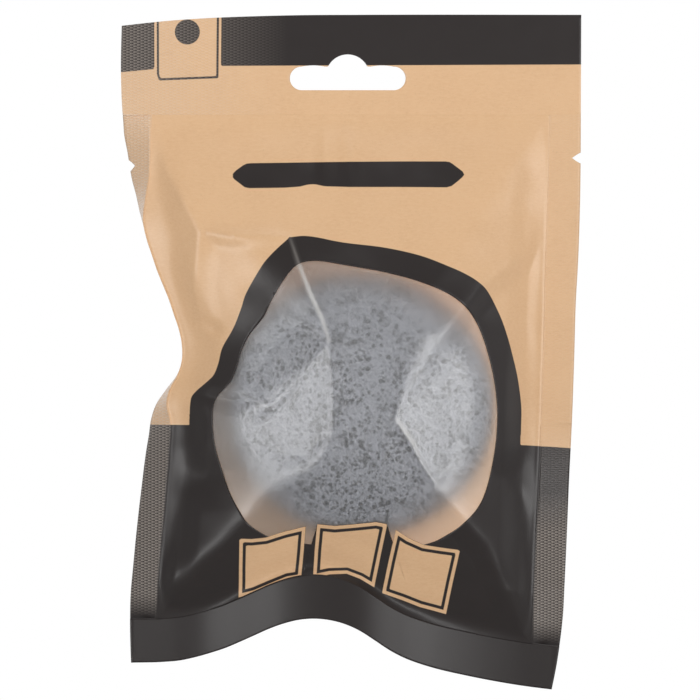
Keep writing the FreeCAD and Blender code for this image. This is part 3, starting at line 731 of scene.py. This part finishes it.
# The sponge's pores: cells for each metre, how far a pore reaches in its cell, and how dark its painted shade
# is.
PORES = ((520, 0.34, 1.0), (800, 0.4, 0.95), (1400, 0.42, 0.7))
# How much the pores of one size differ, and how far they wander from their cells.
PORE_SPREAD, PORE_WANDER = 0.44, 0.2 * MM


def rgba(colour):
    """A colour of the settings, opaque."""
    return (*colour, 1)


def set_inputs(node, values):
    """Sets a node's inputs by their names."""
    for title, value in values.items():
        node.inputs[title].default_value = value


class Tree:
    """A node tree, with short ways to add to it."""

    def __init__(self, tree):
        self.nodes, self.links = tree.nodes, tree.links

    def add(self, kind, values=None, **settings):
        """A node with its settings, and the values of its inputs."""
        node = self.nodes.new(kind)
        for key, value in settings.items():
            setattr(node, key, value)
        set_inputs(node, values or {})
        return node

    def feed(self, value, socket):
        """Gives an input a plain value, or what another node puts out."""
        if isinstance(value, (int, float, tuple)):
            socket.default_value = value
        else:
            self.links.new(value, socket)

    def math(self, operation, *values, clamp=False):
        node = self.add("ShaderNodeMath", operation=operation, use_clamp=clamp)
        for value, socket in zip(values, node.inputs):
            self.feed(value, socket)
        return node.outputs[0]

    def vector_math(self, operation, *values):
        node = self.add("ShaderNodeVectorMath", operation=operation)
        for value, socket in zip(values, node.inputs):
            self.feed(value, socket)
        return node.outputs

    def mix(self, factor, first, second):
        """Two colours mixed. The Mix node's inputs for colours are its first, seventh and eighth."""
        node = self.add("ShaderNodeMix", data_type="RGBA")
        for value, index in ((factor, 0), (first, 6), (second, 7)):
            self.feed(value, node.inputs[index])
        return node.outputs[2]

    def mix_shaders(self, factor, first, second):
        """Two shaders mixed."""
        node = self.add("ShaderNodeMixShader")
        for value, socket in zip((factor, first, second), node.inputs):
            self.feed(value, socket)
        return node.outputs[0]

    def place(self):
        """Where on the piece a point lies."""
        return self.add("ShaderNodeTexCoord").outputs["Object"]

    def split(self, vector):
        """A vector's three numbers."""
        node = self.add("ShaderNodeSeparateXYZ")
        self.feed(vector, node.inputs[0])
        return node.outputs

    def attribute(self, title):
        """A value that the mesh carries at its corners."""
        return self.add("ShaderNodeAttribute", attribute_name=title).outputs["Fac"]

    def noise(self, place, scale, detail, roughness=0.5):
        node = self.add("ShaderNodeTexNoise", {"Scale": scale, "Detail": detail, "Roughness": roughness})
        self.feed(place, node.inputs["Vector"])
        return node.outputs

    def bump(self, height, distance, strength=1, normal=None):
        """A surface roughened by a height, on top of another roughening if there is one."""
        node = self.add("ShaderNodeBump", {"Strength": strength, "Distance": distance})
        self.feed(height, node.inputs["Height"])
        if normal is not None:
            self.feed(normal, node.inputs["Normal"])
        return node.outputs["Normal"]

    def group(self, group, values):
        """A node group placed with its own values."""
        return self.add("ShaderNodeGroup", values, node_tree=group).outputs


def new_material(name):
    """A material, its tree and its main shader."""
    material = bpy.data.materials.new(name)
    material.use_nodes = True
    return material, Tree(material.node_tree), material.node_tree.nodes["Principled BSDF"]


def new_group(name, inputs, outputs):
    """A node group, its tree, the sockets that come in and those that it puts out."""
    group = bpy.data.node_groups.new(name, "ShaderNodeTree")
    for direction, sockets in (("INPUT", inputs), ("OUTPUT", outputs)):
        for title, kind in sockets.items():
            group.interface.new_socket(title, in_out=direction, socket_type=kind)
    tree = Tree(group)
    return group, tree, tree.add("NodeGroupInput").outputs, tree.add("NodeGroupOutput").inputs


def ink_group():
    """Where the dark ink lies: its solid areas, the frame line inside each pale plate, and the round mark."""
    group, tree, given, out = new_group("Ink", {"Edge": NUMBER}, {"Ink": NUMBER})
    plate = tree.attribute("plate")
    outer = tree.math("SUBTRACT", plate, FRAME_LINE[0])
    inner = tree.math("SUBTRACT", FRAME_LINE[1], plate)
    flat = tree.vector_math("MULTIPLY", tree.place(), (1, 0, 1))["Vector"]
    away = tree.vector_math("DISTANCE", flat, (ROUNDEL[0] * MM, 0, ROUNDEL[1] * MM))["Value"]
    shapes = (
        tree.attribute("ink"),
        tree.math("MINIMUM", outer, inner),
        tree.math("MULTIPLY_ADD", away, -1 / MM, ROUNDEL[2]),
    )
    solid, line, disc = (
        tree.math("MULTIPLY_ADD", shape, given["Edge"], 0.5, clamp=True) for shape in shapes
    )
    tree.feed(tree.math("MAXIMUM", solid, tree.math("MAXIMUM", line, disc)), out["Ink"])
    return group


def kraft_group():
    """Kraft paper under a clear film: soft mottling, pale fibres and dark specks."""
    group, tree, given, out = new_group("Kraft", {"Dark": COLOUR, "Light": COLOUR}, {"Color": COLOUR})
    place = tree.place()
    mottle = tree.noise(place, 90, 4)["Fac"]
    stretch = tree.add("ShaderNodeMapping", {"Scale": (0.45, 1, 1.4)})
    tree.feed(place, stretch.inputs["Vector"])
    fibre = tree.noise(stretch.outputs[0], 1400, 5, 0.7)["Fac"]
    speck = tree.noise(place, 3200, 2)["Fac"]
    colour = tree.mix(mottle, given["Dark"], given["Light"])
    colour = tree.mix(tree.math("MULTIPLY_ADD", fibre, 2.4, -0.75, clamp=True), colour, PALE_FIBRE)
    specks = tree.math("MULTIPLY", tree.math("MULTIPLY_ADD", speck, -5, 1.9, clamp=True), 0.35)
    tree.feed(tree.mix(specks, colour, DARK_SPECK), out["Color"])
    return group


def crimp_group():
    """The pattern pressed into the welds: short ribs in staggered columns, with a painted sheen on their
    crests. The attribute says how deep the ribs are and how strong their painted sheen is.
    """
    group, tree, given, out = new_group(
        "Crimp", {"Column": NUMBER, "Row": NUMBER}, {"Height": NUMBER, "Veil": NUMBER})
    place = tree.split(tree.place())
    depth = tree.attribute("crimp")
    columns = tree.math("DIVIDE", place["X"], given["Column"])
    stagger = tree.math("MULTIPLY", tree.math("FLOOR", columns), 0.5)
    rows = tree.math("ADD", tree.math("DIVIDE", place["Z"], given["Row"]), stagger)
    across = tree.math("SINE", tree.math("MULTIPLY", columns, 2 * math.pi))
    down = tree.math("SINE", tree.math("MULTIPLY", rows, 2 * math.pi))
    rib = tree.math("MULTIPLY_ADD", across, 0.3, down)
    tree.feed(tree.math("MULTIPLY", rib, depth), out["Height"])
    # Painted sheen: lighter on the ribs' crests, as strong as the ribs are deep.
    painted_sheen = tree.math("MULTIPLY_ADD", rib, 0.17, 0.22, clamp=True)
    tree.feed(tree.math("MULTIPLY", painted_sheen, depth), out["Veil"])
    return group


def foam_group():
    """Konjac foam: open pores of mixed sizes in clusters, painted dark as shade, between pale cell walls."""
    group, tree, given, out = new_group(
        "Foam", {"Dark": COLOUR, "Light": COLOUR}, {"Color": COLOUR, "Height": NUMBER})
    place = tree.place()
    warp = tree.noise(place, 420, 2)["Color"]
    shifted = tree.vector_math("MULTIPLY_ADD", warp, (PORE_WANDER,) * 3, place)["Vector"]
    cluster = tree.math("MULTIPLY_ADD", tree.noise(place, 170, 2)["Fac"], 0.55, -0.26)
    pores = 0
    for scale, size, depth in PORES:
        cells = tree.add("ShaderNodeTexVoronoi", {"Scale": scale, "Randomness": 1})
        tree.feed(shifted, cells.inputs["Vector"])
        chance = tree.add("ShaderNodeSeparateColor")
        tree.feed(cells.outputs["Color"], chance.inputs[0])
        reach = tree.math("MULTIPLY_ADD", chance.outputs[0], PORE_SPREAD, size - 0.75 * PORE_SPREAD)
        inside = tree.math("SUBTRACT", tree.math("ADD", reach, cluster), cells.outputs["Distance"])
        pore = tree.math("MULTIPLY", tree.math("MULTIPLY_ADD", inside, 8, 0.2, clamp=True), depth)
        pores = tree.math("MAXIMUM", pores, pore)
    walls = tree.math("MULTIPLY_ADD", tree.noise(place, 1500, 2)["Fac"], 2.4, -0.7, clamp=True)
    # The pores are painted with shade over the walls' own mottled colour.
    tree.feed(tree.mix(pores, tree.mix(walls, given["Dark"], given["Light"]), PORE_SHADE), out["Color"])
    tree.feed(tree.math("SUBTRACT", 1, pores), out["Height"])
    return group


def film_material(name, printed, groups, colours):
    """Satin film over kraft: printed outside, and inside a faint painted glow that stands in for light
    through the paper.
    """
    material, tree, shader = new_material(name)
    shades = {"Dark": rgba(colours.kraft_dark), "Light": rgba(colours.kraft_light)}
    colour = tree.group(groups["kraft"], shades)["Color"]
    if printed:
        ink = tree.group(groups["ink"], {"Edge": PRINT_EDGE})["Ink"]
        colour = tree.mix(ink, colour, rgba(colours.ink))
    else:
        # Painted glow: emission, brighter to the right and lower down, standing in for light through the
        # paper.
        place = tree.split(tree.place())
        painted_glow = tree.math("MULTIPLY_ADD", place["X"], PAINTED_GLOW_RIGHTWARDS, PAINTED_GLOW_LEVEL)
        painted_glow = tree.math("MULTIPLY_ADD", place["Z"], PAINTED_GLOW_UPWARDS, painted_glow, clamp=True)
        tree.feed(tree.mix(painted_glow, NO_LIGHT, PAINTED_GLOW_COLOUR), shader.inputs["Emission Color"])
        set_inputs(shader, {"Emission Strength": 1})
    crimp = tree.group(groups["crimp"], {"Column": CRIMP_COLUMN, "Row": CRIMP_ROW})
    # The painted sheen of the welds' ribs, mixed into the colour.
    colour = tree.mix(crimp["Veil"], colour, PAINTED_RIB_SHEEN)
    # The painted highlight along the sharpest folds, mixed into the colour.
    colour = tree.mix(tree.attribute("fold"), colour, FOLD_HIGHLIGHT_FILM)
    tree.feed(colour, shader.inputs["Base Color"])
    set_inputs(shader, {
        "Roughness": 0.42, "Specular IOR Level": 0.4, "Coat Weight": 0.42, "Coat Roughness": 0.27,
    })
    skin = tree.bump(tree.noise(tree.place(), 700, 3)["Fac"], 0.02 * MM)
    tree.feed(tree.bump(crimp["Height"], 0.05 * MM, normal=skin), shader.inputs["Normal"])
    return material


def frosted_material():
    """Milky film that scatters what lies behind it, the more the further off it is. Lamps shine through it,
    and a painted highlight lies along its sharpest folds."""
    material, tree, shader = new_material("Frosted film")
    set_inputs(shader, {
        "Base Color": FROSTED_FILM, "Metallic": 0, "Transmission Weight": 0.97, "Roughness": 0.48,
        "IOR": 1.45, "Coat Weight": 0.8, "Coat Roughness": 0.3,
    })
    skin = tree.bump(tree.noise(tree.place(), 260, 4)["Fac"], 0.02 * MM)
    tree.feed(skin, shader.inputs["Normal"])
    # Painted highlight along the sharpest folds: a pale diffuse film mixed in there.
    white = tree.add("ShaderNodeBsdfDiffuse", {"Color": FOLD_HIGHLIGHT_PANE}).outputs[0]
    clear = tree.add("ShaderNodeBsdfTransparent", {"Color": CLEAR_PANE}).outputs[0]
    fold_highlighted = tree.mix_shaders(tree.math("MULTIPLY", tree.attribute("fold"), 0.45), shader.outputs[0], white)
    path = tree.add("ShaderNodeLightPath").outputs
    lit = tree.math("MAXIMUM", path["Is Shadow Ray"], path["Is Diffuse Ray"])
    surface = tree.mix_shaders(lit, fold_highlighted, clear)
    tree.feed(surface, tree.nodes["Material Output"].inputs["Surface"])
    return material


def foam_material(colours):
    """The sponge's foam."""
    material, tree, shader = new_material("Konjac foam")
    shades = {"Dark": rgba(colours.foam_dark), "Light": rgba(colours.foam_light)}
    foam = tree.group(foam_group(), shades)
    tree.feed(foam["Color"], shader.inputs["Base Color"])
    set_inputs(shader, {"Roughness": 0.9, "Specular IOR Level": 0.25})
    tree.feed(tree.bump(foam["Height"], 0.2 * MM, 0.7), shader.inputs["Normal"])
    return material


def floor_material(colours):
    """The floor's plain pale finish."""
    material, _, shader = new_material("Pale floor")
    set_inputs(shader, {"Base Color": rgba(colours.floor), "Roughness": 0.8})
    return material


def materials():
    """The materials by name, made once."""
    if "Printed film" not in bpy.data.materials:
        colours = bpy.context.scene.pack_colours
        groups = {"ink": ink_group(), "kraft": kraft_group(), "crimp": crimp_group()}
        film_material("Printed film", True, groups, colours)
        film_material("Plain kraft", False, groups, colours)
        frosted_material()
        foam_material(colours)
        floor_material(colours)
    return bpy.data.materials


# Operators, one for each piece

class SACHET_OT_header(bpy.types.Operator):
    """Header: both webs welded flat, with the hang slot and its crown cut out."""

    bl_idname = "sachet.header"
    bl_label = "Header"

    # Where the top edge meets the left one.
    corner = -63.3

    def execute(self, context):
        sizes = context.scene.sachet
        side_points = (210, 30, 210, 30)
        mesh, across, down = grid_of_points(columns=sum(side_points), rows=84)
        outer = along_sides(self.outline(), side_points)
        inner = self.slot(sizes, outer)
        x, z = ring_points(inner, outer, across, down).T
        above = z - weld_line()
        bowed = np.clip((above - 4) / 10, 0, 1)
        y = uneven(HEADER_UNEVEN, x, z) * bowed + uneven(HEADER_FINE_UNEVEN, x, z)
        shape_grid(mesh, x, y * np.clip(above / 6, 0, 1), z)
        ink, plate = print_distances(x, z)
        # Pressed at the left, and less and less to the right, and the ribs' painted sheen with it.
        crimp = 0.7 * np.clip(1.1 - (x + 63) / 42, 0, 1)
        values = merge_seam(mesh, {"ink": ink, "plate": plate, "crimp": crimp})
        piece = to_object(mesh, "header", values, [materials()["Printed film"]], TO_FRONT)
        thicken(piece, 2 * sizes.web, 0)
        dress(piece, "sachet", "header_seal")
        return {"FINISHED"}

    def outline(self):
        """The four sides, from the top left corner clockwise."""
        line = weld_line()
        left_top, right_top = curve(TOP_EDGE, self.corner), TOP_EDGE[-1][1]
        left = [(curve(LEFT_EDGE, z), z) for z in np.linspace(line, left_top, 24)]
        xs = np.linspace(left[-1][0], curve(RIGHT_EDGE, right_top), 80)
        top = [(x, curve(TOP_EDGE, x)) for x in xs]
        right = [(curve(RIGHT_EDGE, z), z) for z in np.linspace(right_top, line, 24)]
        bottom = [(right[-1][0], line), (left[0][0], line)]
        return [top, right, bottom, left]

    def slot(self, sizes, outer):
        """A point of the slot's outline for each point of the outer one, in the same direction."""
        half = sizes.slot_height / 2 / MM
        reach = sizes.slot_width / 2 / MM - half
        radius = sizes.crown_radius / MM
        centre = sizes.crown_top / MM - radius
        angles = np.linspace(math.pi / 2, 3 * math.pi / 2, 40)
        left = [(-reach + half * math.cos(angle), half * math.sin(angle)) for angle in angles]
        right = [(-x, -z) for x, z in left]
        foot = math.sqrt(radius ** 2 - (half - centre) ** 2)
        xs = np.linspace(foot + 1, -foot - 1, 50)
        crown = [(x, max(half, centre + math.sqrt(max(radius ** 2 - x * x, 0)))) for x in xs]
        lower = [(x, -half) for x in np.linspace(-reach, reach, 80)]
        outline = np.array(left + lower + right + crown)
        radius_at = polar(outline, (0, 0))
        angle = np.arctan2(outer[:, 1], outer[:, 0])
        return np.stack([radius_at(angle) * np.cos(angle), radius_at(angle) * np.sin(angle)], axis=1)


class SACHET_OT_front(bpy.types.Operator):
    """Front web: printed film over kraft, creased over the sponge, with the window cut out."""

    bl_idname = "sachet.front"
    bl_label = "Front web"

    # Rays all round, then the stretch of the tags and the step of the rays there, in degrees, and then half
    # the angle between a corner's two rays and how far the other rays stay off it, in radians.
    rays = 420
    tags_span, tags_step = (-129, -48), 0.24
    half_pair, clear_of_pair = 0.0004, 0.0015

    def execute(self, context):
        outline, corners = self.outline()
        angles = self.angles(corners)
        outer = self.places(angles, first_hit(outline, WINDOW_CENTRE, angles))
        opening = polar(rounded(WINDOW), WINDOW_CENTRE)(angles)
        for tag in TAGS:
            opening = np.minimum(opening, first_hit(tag, WINDOW_CENTRE, angles))
        inner = self.places(angles, opening)
        mesh, across, down = grid_of_points(columns=len(angles) - 1, rows=60)
        x, z = ring_points(inner, outer, across, down).T
        shape_grid(mesh, x, front_height(x, z), z)
        ink, plate = print_distances(x, z)
        # A fainter painted highlight along the folds of the printed web.
        values = {"ink": ink, "plate": plate, "crimp": np.zeros(x.shape), "fold": 0.3 * painted_fold_highlight(x, z)}
        values = merge_seam(mesh, values)
        piece = to_object(mesh, "front_web", values, [materials()["Printed film"]], TO_FRONT)
        thicken(piece, context.scene.sachet.web, 1)
        dress(piece, "sachet", "front_panel")
        return {"FINISHED"}

    def outline(self):
        """The web's outline, from the bottom left corner clockwise, and its four corners."""
        line = weld_line()
        left_zs = np.linspace(bottom_weld_top(LEFT_SEAM[-1][1]), line, 90)
        right_zs = np.linspace(line, bottom_weld_top(RIGHT_SEAM[-1][1]), 90)
        left = [(curve(LEFT_SEAM, z), z) for z in left_zs]
        right = [(curve(RIGHT_SEAM, z), z) for z in right_zs]
        bottom = [(x, bottom_weld_top(x)) for x in np.linspace(right[-1][0], left[0][0], 90)]
        return np.array(left + right + bottom), np.array([left[0], left[-1], right[0], right[-1]])

    def angles(self, corners):
        """Ray angles all round the window: close together at the tags, and a pair for each sharp corner."""
        points = np.concatenate([np.array(tag, float) for tag in TAGS] + [corners]) - WINDOW_CENTRE
        exact = np.arctan2(points[:, 1], points[:, 0])
        close = np.radians(np.arange(*self.tags_span, self.tags_step))
        even = np.arange(-math.pi, math.pi, 2 * math.pi / self.rays)
        even = even[(even < close[0]) | (even > close[-1])]
        angles = np.concatenate((even, close))
        angles = angles[np.min(np.abs(angles[:, None] - exact), axis=1) > self.clear_of_pair]
        angles = np.sort(np.concatenate((angles, exact - self.half_pair, exact + self.half_pair)))
        angles = angles[np.concatenate(((True,), np.diff(angles) > self.half_pair / 2))]
        return np.concatenate((angles, angles[:1] + 2 * math.pi))

    def places(self, angles, radii):
        """Points round the window's centre."""
        return np.stack([
            WINDOW_CENTRE[0] + radii * np.cos(angles), WINDOW_CENTRE[1] + radii * np.sin(angles),
        ], axis=1)


class SACHET_OT_window(bpy.types.Operator):
    """Window film: frosted film behind the opening, lapped under the printed web all round."""

    bl_idname = "sachet.window"
    bl_label = "Window film"

    def execute(self, context):
        sizes = context.scene.sachet
        mesh, across, down = grid_of_points(columns=216, rows=216)
        u, v = across * 2 - 1, 1 - down * 2
        disc_x, disc_z = u * np.sqrt(1 - v * v / 2), v * np.sqrt(1 - u * u / 2)
        radius_at = polar(rounded(WINDOW), WINDOW_CENTRE)
        radius = radius_at(np.arctan2(disc_z, disc_x)) + sizes.lap / MM
        x, z = WINDOW_CENTRE[0] + disc_x * radius, WINDOW_CENTRE[1] + disc_z * radius
        shape_grid(mesh, x, front_height(x, z) + PANE_GAP, z)
        # The painted highlight along the folds.
        values = {"fold": painted_fold_highlight(x, z)}
        piece = to_object(mesh, "window_pane", values, [materials()["Frosted film"]], TO_FRONT)
        thicken(piece, sizes.pane, -1)
        dress(piece, "sachet", "window_film")
        return {"FINISHED"}


class SACHET_OT_back(bpy.types.Operator):
    """Back web: printed outside and plain kraft inside, where it shows through the window's rim."""

    bl_idname = "sachet.back"
    bl_label = "Back web"

    def execute(self, context):
        mesh, across, down = grid_of_points(columns=130, rows=170)
        x = np.zeros(across.shape)
        for _ in range(ROUNDS):
            z = weld_line() + (bottom_weld_top(x) - weld_line()) * down
            x = curve(LEFT_SEAM, z) * (1 - across) + curve(RIGHT_SEAM, z) * across
        shape_grid(mesh, x, back_height(x, z), z)
        ink, plate = print_distances(x, z, face=False)
        values = {"ink": ink, "plate": plate, "crimp": np.zeros(x.shape)}
        looks = [materials()["Printed film"], materials()["Plain kraft"]]
        piece = to_object(mesh, "back_web", values, looks, TO_BACK)
        thicken(piece, context.scene.sachet.web, -1, inner_slot=1)
        dress(piece, "sachet", "back_panel")
        return {"FINISHED"}


class SACHET_OT_side_welds(bpy.types.Operator):
    """Side welds: crimped strips with their tear notches, the left one turned backwards at the waist."""

    bl_idname = "sachet.side_welds"
    bl_label = "Side welds"

    # Half a notch's height, the share of the weld that it cuts, the share that lies under the webs, and the
    # height below which both welds are fully pressed.
    notch_half, notch_share, under = 1.5, 0.27, 0.03
    # Below this height the welds' painted sheen is full as well.
    pressed_below = -116

    def execute(self, context):
        # The right weld's upper part is pressed less, so it shows less painted sheen.
        for strip in (
            ("left_weld", LEFT_SEAM, LEFT_EDGE, -24.3, 1, "left_side_seal"),
            ("right_weld", RIGHT_SEAM, RIGHT_EDGE, -22.3, 0.15, "right_side_seal"),
        ):
            self.strip(context.scene.sachet, *strip)
        return {"FINISHED"}

    def strip(self, sizes, name, seam, edge, notch, pressed, node):
        """One side weld: its notch's height, and how deep its upper part is pressed, which also sets its
        painted sheen there.
        """
        width = sizes.seal_width / MM
        mesh, across, down = grid_of_points(columns=12, rows=960)
        x = np.full(across.shape, seam[-1][1])
        for _ in range(ROUNDS):
            z = weld_line() + (bottom_weld_top(x) - STRIP_LAP - weld_line()) * down
            inner, outer = curve(seam, z), curve(edge, z)
            notched = np.clip(1 - np.abs(z - notch) / self.notch_half, 0, 1) ** 0.8
            share = (across * (1 + self.under) - self.under) * (1 - self.notch_share * notched)
            x = inner + (outer - inner) * share
        flat = np.clip((outer - inner) / width, -1, 1)
        turned = width * np.sqrt(1 - flat ** 2)
        seam_fade = np.clip(across * 12, 0, 1)
        end_fade = np.clip((z - bottom_weld_top(x) - 1) / 6, 0, 1)
        rib = np.sin(z / (sizes.rib_pitch / MM) * 2 * math.pi) * sizes.rib_depth / MM
        shape_grid(mesh, x, wave(x, z) + turned * share + rib * seam_fade * end_fade, z)
        ink, plate = print_distances(x, z, face=False)
        lower = np.clip((self.pressed_below - z) / 12, 0, 1)
        # How deep the ribs are pressed, and so how strong their painted sheen is.
        crimp = seam_fade * end_fade * (pressed + (1 - pressed) * lower)
        values = {"ink": ink, "plate": plate, "crimp": crimp}
        piece = to_object(mesh, name, values, [materials()["Printed film"]], TO_FRONT)
        thicken(piece, 2 * sizes.web, 0)
        dress(piece, "sachet", node)


class SACHET_OT_bottom_weld(bpy.types.Operator):
    """Bottom weld: a smooth strip that follows the arch of the bottom edge."""

    bl_idname = "sachet.bottom_weld"
    bl_label = "Bottom weld"

    def execute(self, context):
        mesh, across, down = grid_of_points(columns=260, rows=24)
        left, right = LEFT_EDGE[-1][1], RIGHT_EDGE[-1][1]
        x = left + (right - left) * across
        for _ in range(ROUNDS):
            upper = bottom_weld_top(x) + WELD_LAP
            z = upper + (curve(BOTTOM_EDGE, x) - upper) * down
            x = curve(LEFT_EDGE, z) * (1 - across) + curve(RIGHT_EDGE, z) * across
        y = wave(x, np.minimum(z, bottom_weld_top(x)))
        shape_grid(mesh, x, y, z)
        ink, plate = print_distances(x, z, face=False)
        values = {"ink": ink, "plate": plate, "crimp": np.zeros(x.shape)}
        piece = to_object(mesh, "bottom_weld", values, [materials()["Printed film"]], TO_FRONT)
        thicken(piece, 2 * context.scene.sachet.web, 0)
        dress(piece, "sachet", "bottom_seal")
        return {"FINISHED"}


class SACHET_OT_sponge(bpy.types.Operator):
    """Sponge: a full dome on a flatter back, uneven and pitted all over."""

    bl_idname = "sachet.sponge"
    bl_label = "Sponge"

    # How far the pitted surface lies inside the plain one, how far a flat's film stays off it, and the most
    # that it swells out to a flat.
    sunk, under_film, swell = 0.15, 0.5, 0.6

    def execute(self, context):
        sponge = context.scene.sponge
        mesh = bmesh.new()
        bmesh.ops.create_icosphere(mesh, subdivisions=7, radius=1)
        for vert in mesh.verts:
            vert.co = self.place(sponge, vert.co.normalized())
        x, y, z = np.array([vert.co for vert in mesh.verts]).T / MM
        pressed = np.minimum(flattened(-y, x, z, self.under_film), self.swell - y)
        for vert, height in zip(mesh.verts, pressed):
            if vert.co.y < 0:
                vert.co.y = -height * MM
        piece = to_object(mesh, "sponge", materials=[materials()["Konjac foam"]])
        dress(piece, "sponge", "konjac_sponge")
        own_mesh(piece)
        return {"FINISHED"}

    def place(self, sponge, direction):
        """Where the sponge's surface lies in a direction from its centre, with its pits."""
        across = math.hypot(direction.x, direction.z)
        depth, power = sponge_half(direction.y < 0)
        out = sponge.diameter / 2 / MM * across ** power / max(across, 1e-6)
        side = math.copysign(abs(direction.y) ** power * depth, direction.y)
        place = Vector((direction.x * out, side, direction.z * out))
        pits = sum(height * noise.noise(place / size) for height, size in SPONGE_UNEVEN)
        return Vector(sponge.centre) + (place + direction * (pits - self.sunk)) * MM


# Softboxes in metres: where they hang, and their width and height. The floor lies lower than their light.
SOFTBOXES = (
    ("key", (-0.8, -1.08, -0.3), (0.8, 0.4)),
    ("fill", (0.8, -1.08, -0.14), (0.8, 0.5)),
    ("top", (0.1, -0.45, 1.15), (0.8, 0.8)),
)
FLOOR_HALF, FLOOR_PLACE = 0.5, (0, -0.17, -0.21)


class SACHET_OT_studio(bpy.types.Operator):
    """Studio: a pale floor below, softboxes, a white background and the camera."""

    bl_idname = "sachet.studio"
    bl_label = "Studio"

    def execute(self, context):
        studio = context.scene.studio
        self.floor()
        self.world(context.scene, studio.surround)
        context.scene.view_settings.view_transform = "Standard"
        centre = Vector(studio.view_centre)
        for name, place, size in SOFTBOXES:
            self.lamp(name, Vector(place), centre, size, getattr(studio, name))
        self.camera(context.scene, studio, centre)
        return {"FINISHED"}

    def floor(self):
        """The floor under the hanging sachet."""
        mesh = bmesh.new()
        bmesh.ops.create_grid(mesh, x_segments=4, y_segments=4, size=FLOOR_HALF)
        bmesh.ops.translate(mesh, verts=mesh.verts, vec=FLOOR_PLACE)
        floor = to_object(mesh, "floor", None, [materials()["Pale floor"]], UPWARDS)

    def world(self, scene, surround):
        """White where it is seen, dimmer where it lights, and mirrored mostly from behind the sachet."""
        world = bpy.data.worlds.new("Studio")
        scene.world = world
        world.use_nodes = True
        tree = Tree(world.node_tree)
        background = tree.nodes["Background"]
        set_inputs(background, {"Color": (1, 1, 1, 1)})
        path = tree.add("ShaderNodeLightPath").outputs
        seen = tree.math("MAXIMUM", path["Is Camera Ray"], path["Is Transmission Ray"])
        direction = tree.split(tree.add("ShaderNodeTexCoord").outputs["Generated"])
        behind = tree.math("MULTIPLY_ADD", direction["X"], 0.35, 0.5)
        behind = tree.math("MULTIPLY_ADD", direction["Y"], 2.4, behind, clamp=True)
        mirrored = tree.math("MULTIPLY", path["Is Glossy Ray"], behind)
        white = tree.math("MAXIMUM", seen, mirrored)
        level = tree.math("MULTIPLY_ADD", white, 1 - surround, surround)
        tree.feed(level, background.inputs["Strength"])

    def lamp(self, name, place, target, size, power):
        """A softbox that is turned to its target."""
        data = bpy.data.lights.new(name, "AREA")
        data.shape = "RECTANGLE"
        data.size, data.size_y = size
        data.energy = power
        lamp = bpy.data.objects.new(name, data)
        lamp.location = place
        lamp.rotation_euler = (target - place).to_track_quat("-Z", "Y").to_euler()
        bpy.context.collection.objects.link(lamp)

    def camera(self, scene, studio, centre):
        """The camera, square on to the sachet."""
        data = bpy.data.cameras.new("camera")
        data.lens = data.sensor_width * studio.distance / studio.view_width
        data.clip_end = 8 * studio.distance
        camera = bpy.data.objects.new("camera", data)
        camera.location = centre + Vector((0, -studio.distance, 0))
        camera.rotation_euler = (math.pi / 2, 0, 0)
        bpy.context.collection.objects.link(camera)
        scene.camera = camera


class SACHET_PT_pieces(bpy.types.Panel):
    """Buttons for the pieces and the studio."""

    bl_label = "Konjac sponge sachet"
    bl_space_type = "VIEW_3D"
    bl_region_type = "UI"
    bl_category = "Sachet"

    def draw(self, context):
        for operator in OPERATORS:
            self.layout.operator(operator.bl_idname)


OPERATORS = (
    SACHET_OT_header, SACHET_OT_front, SACHET_OT_window, SACHET_OT_back, SACHET_OT_side_welds,
    SACHET_OT_bottom_weld, SACHET_OT_sponge, SACHET_OT_studio,
)
SETTINGS = {
    "sachet": SachetSizes, "sponge": SpongeSizes, "pack_colours": PackColours, "studio": StudioSettings,
}
CLASSES = tuple(SETTINGS.values()) + OPERATORS + (SACHET_PT_pieces,)


def register():
    """Adds the classes, and the settings to the scene."""
    for item in CLASSES:
        bpy.utils.register_class(item)
    for name, group in SETTINGS.items():
        setattr(bpy.types.Scene, name, PointerProperty(type=group))


def unregister():
    """Takes away what register adds."""
    for name in SETTINGS:
        delattr(bpy.types.Scene, name)
    for item in reversed(CLASSES):
        bpy.utils.unregister_class(item)


def main():
    """Builds the pieces and the studio."""
    register()
    bpy.ops.sachet.header()
    bpy.ops.sachet.front()
    bpy.ops.sachet.window()
    bpy.ops.sachet.back()
    bpy.ops.sachet.side_welds()
    bpy.ops.sachet.bottom_weld()
    bpy.ops.sachet.sponge()
    bpy.ops.sachet.studio()


if __name__ == "__main__":
    main()
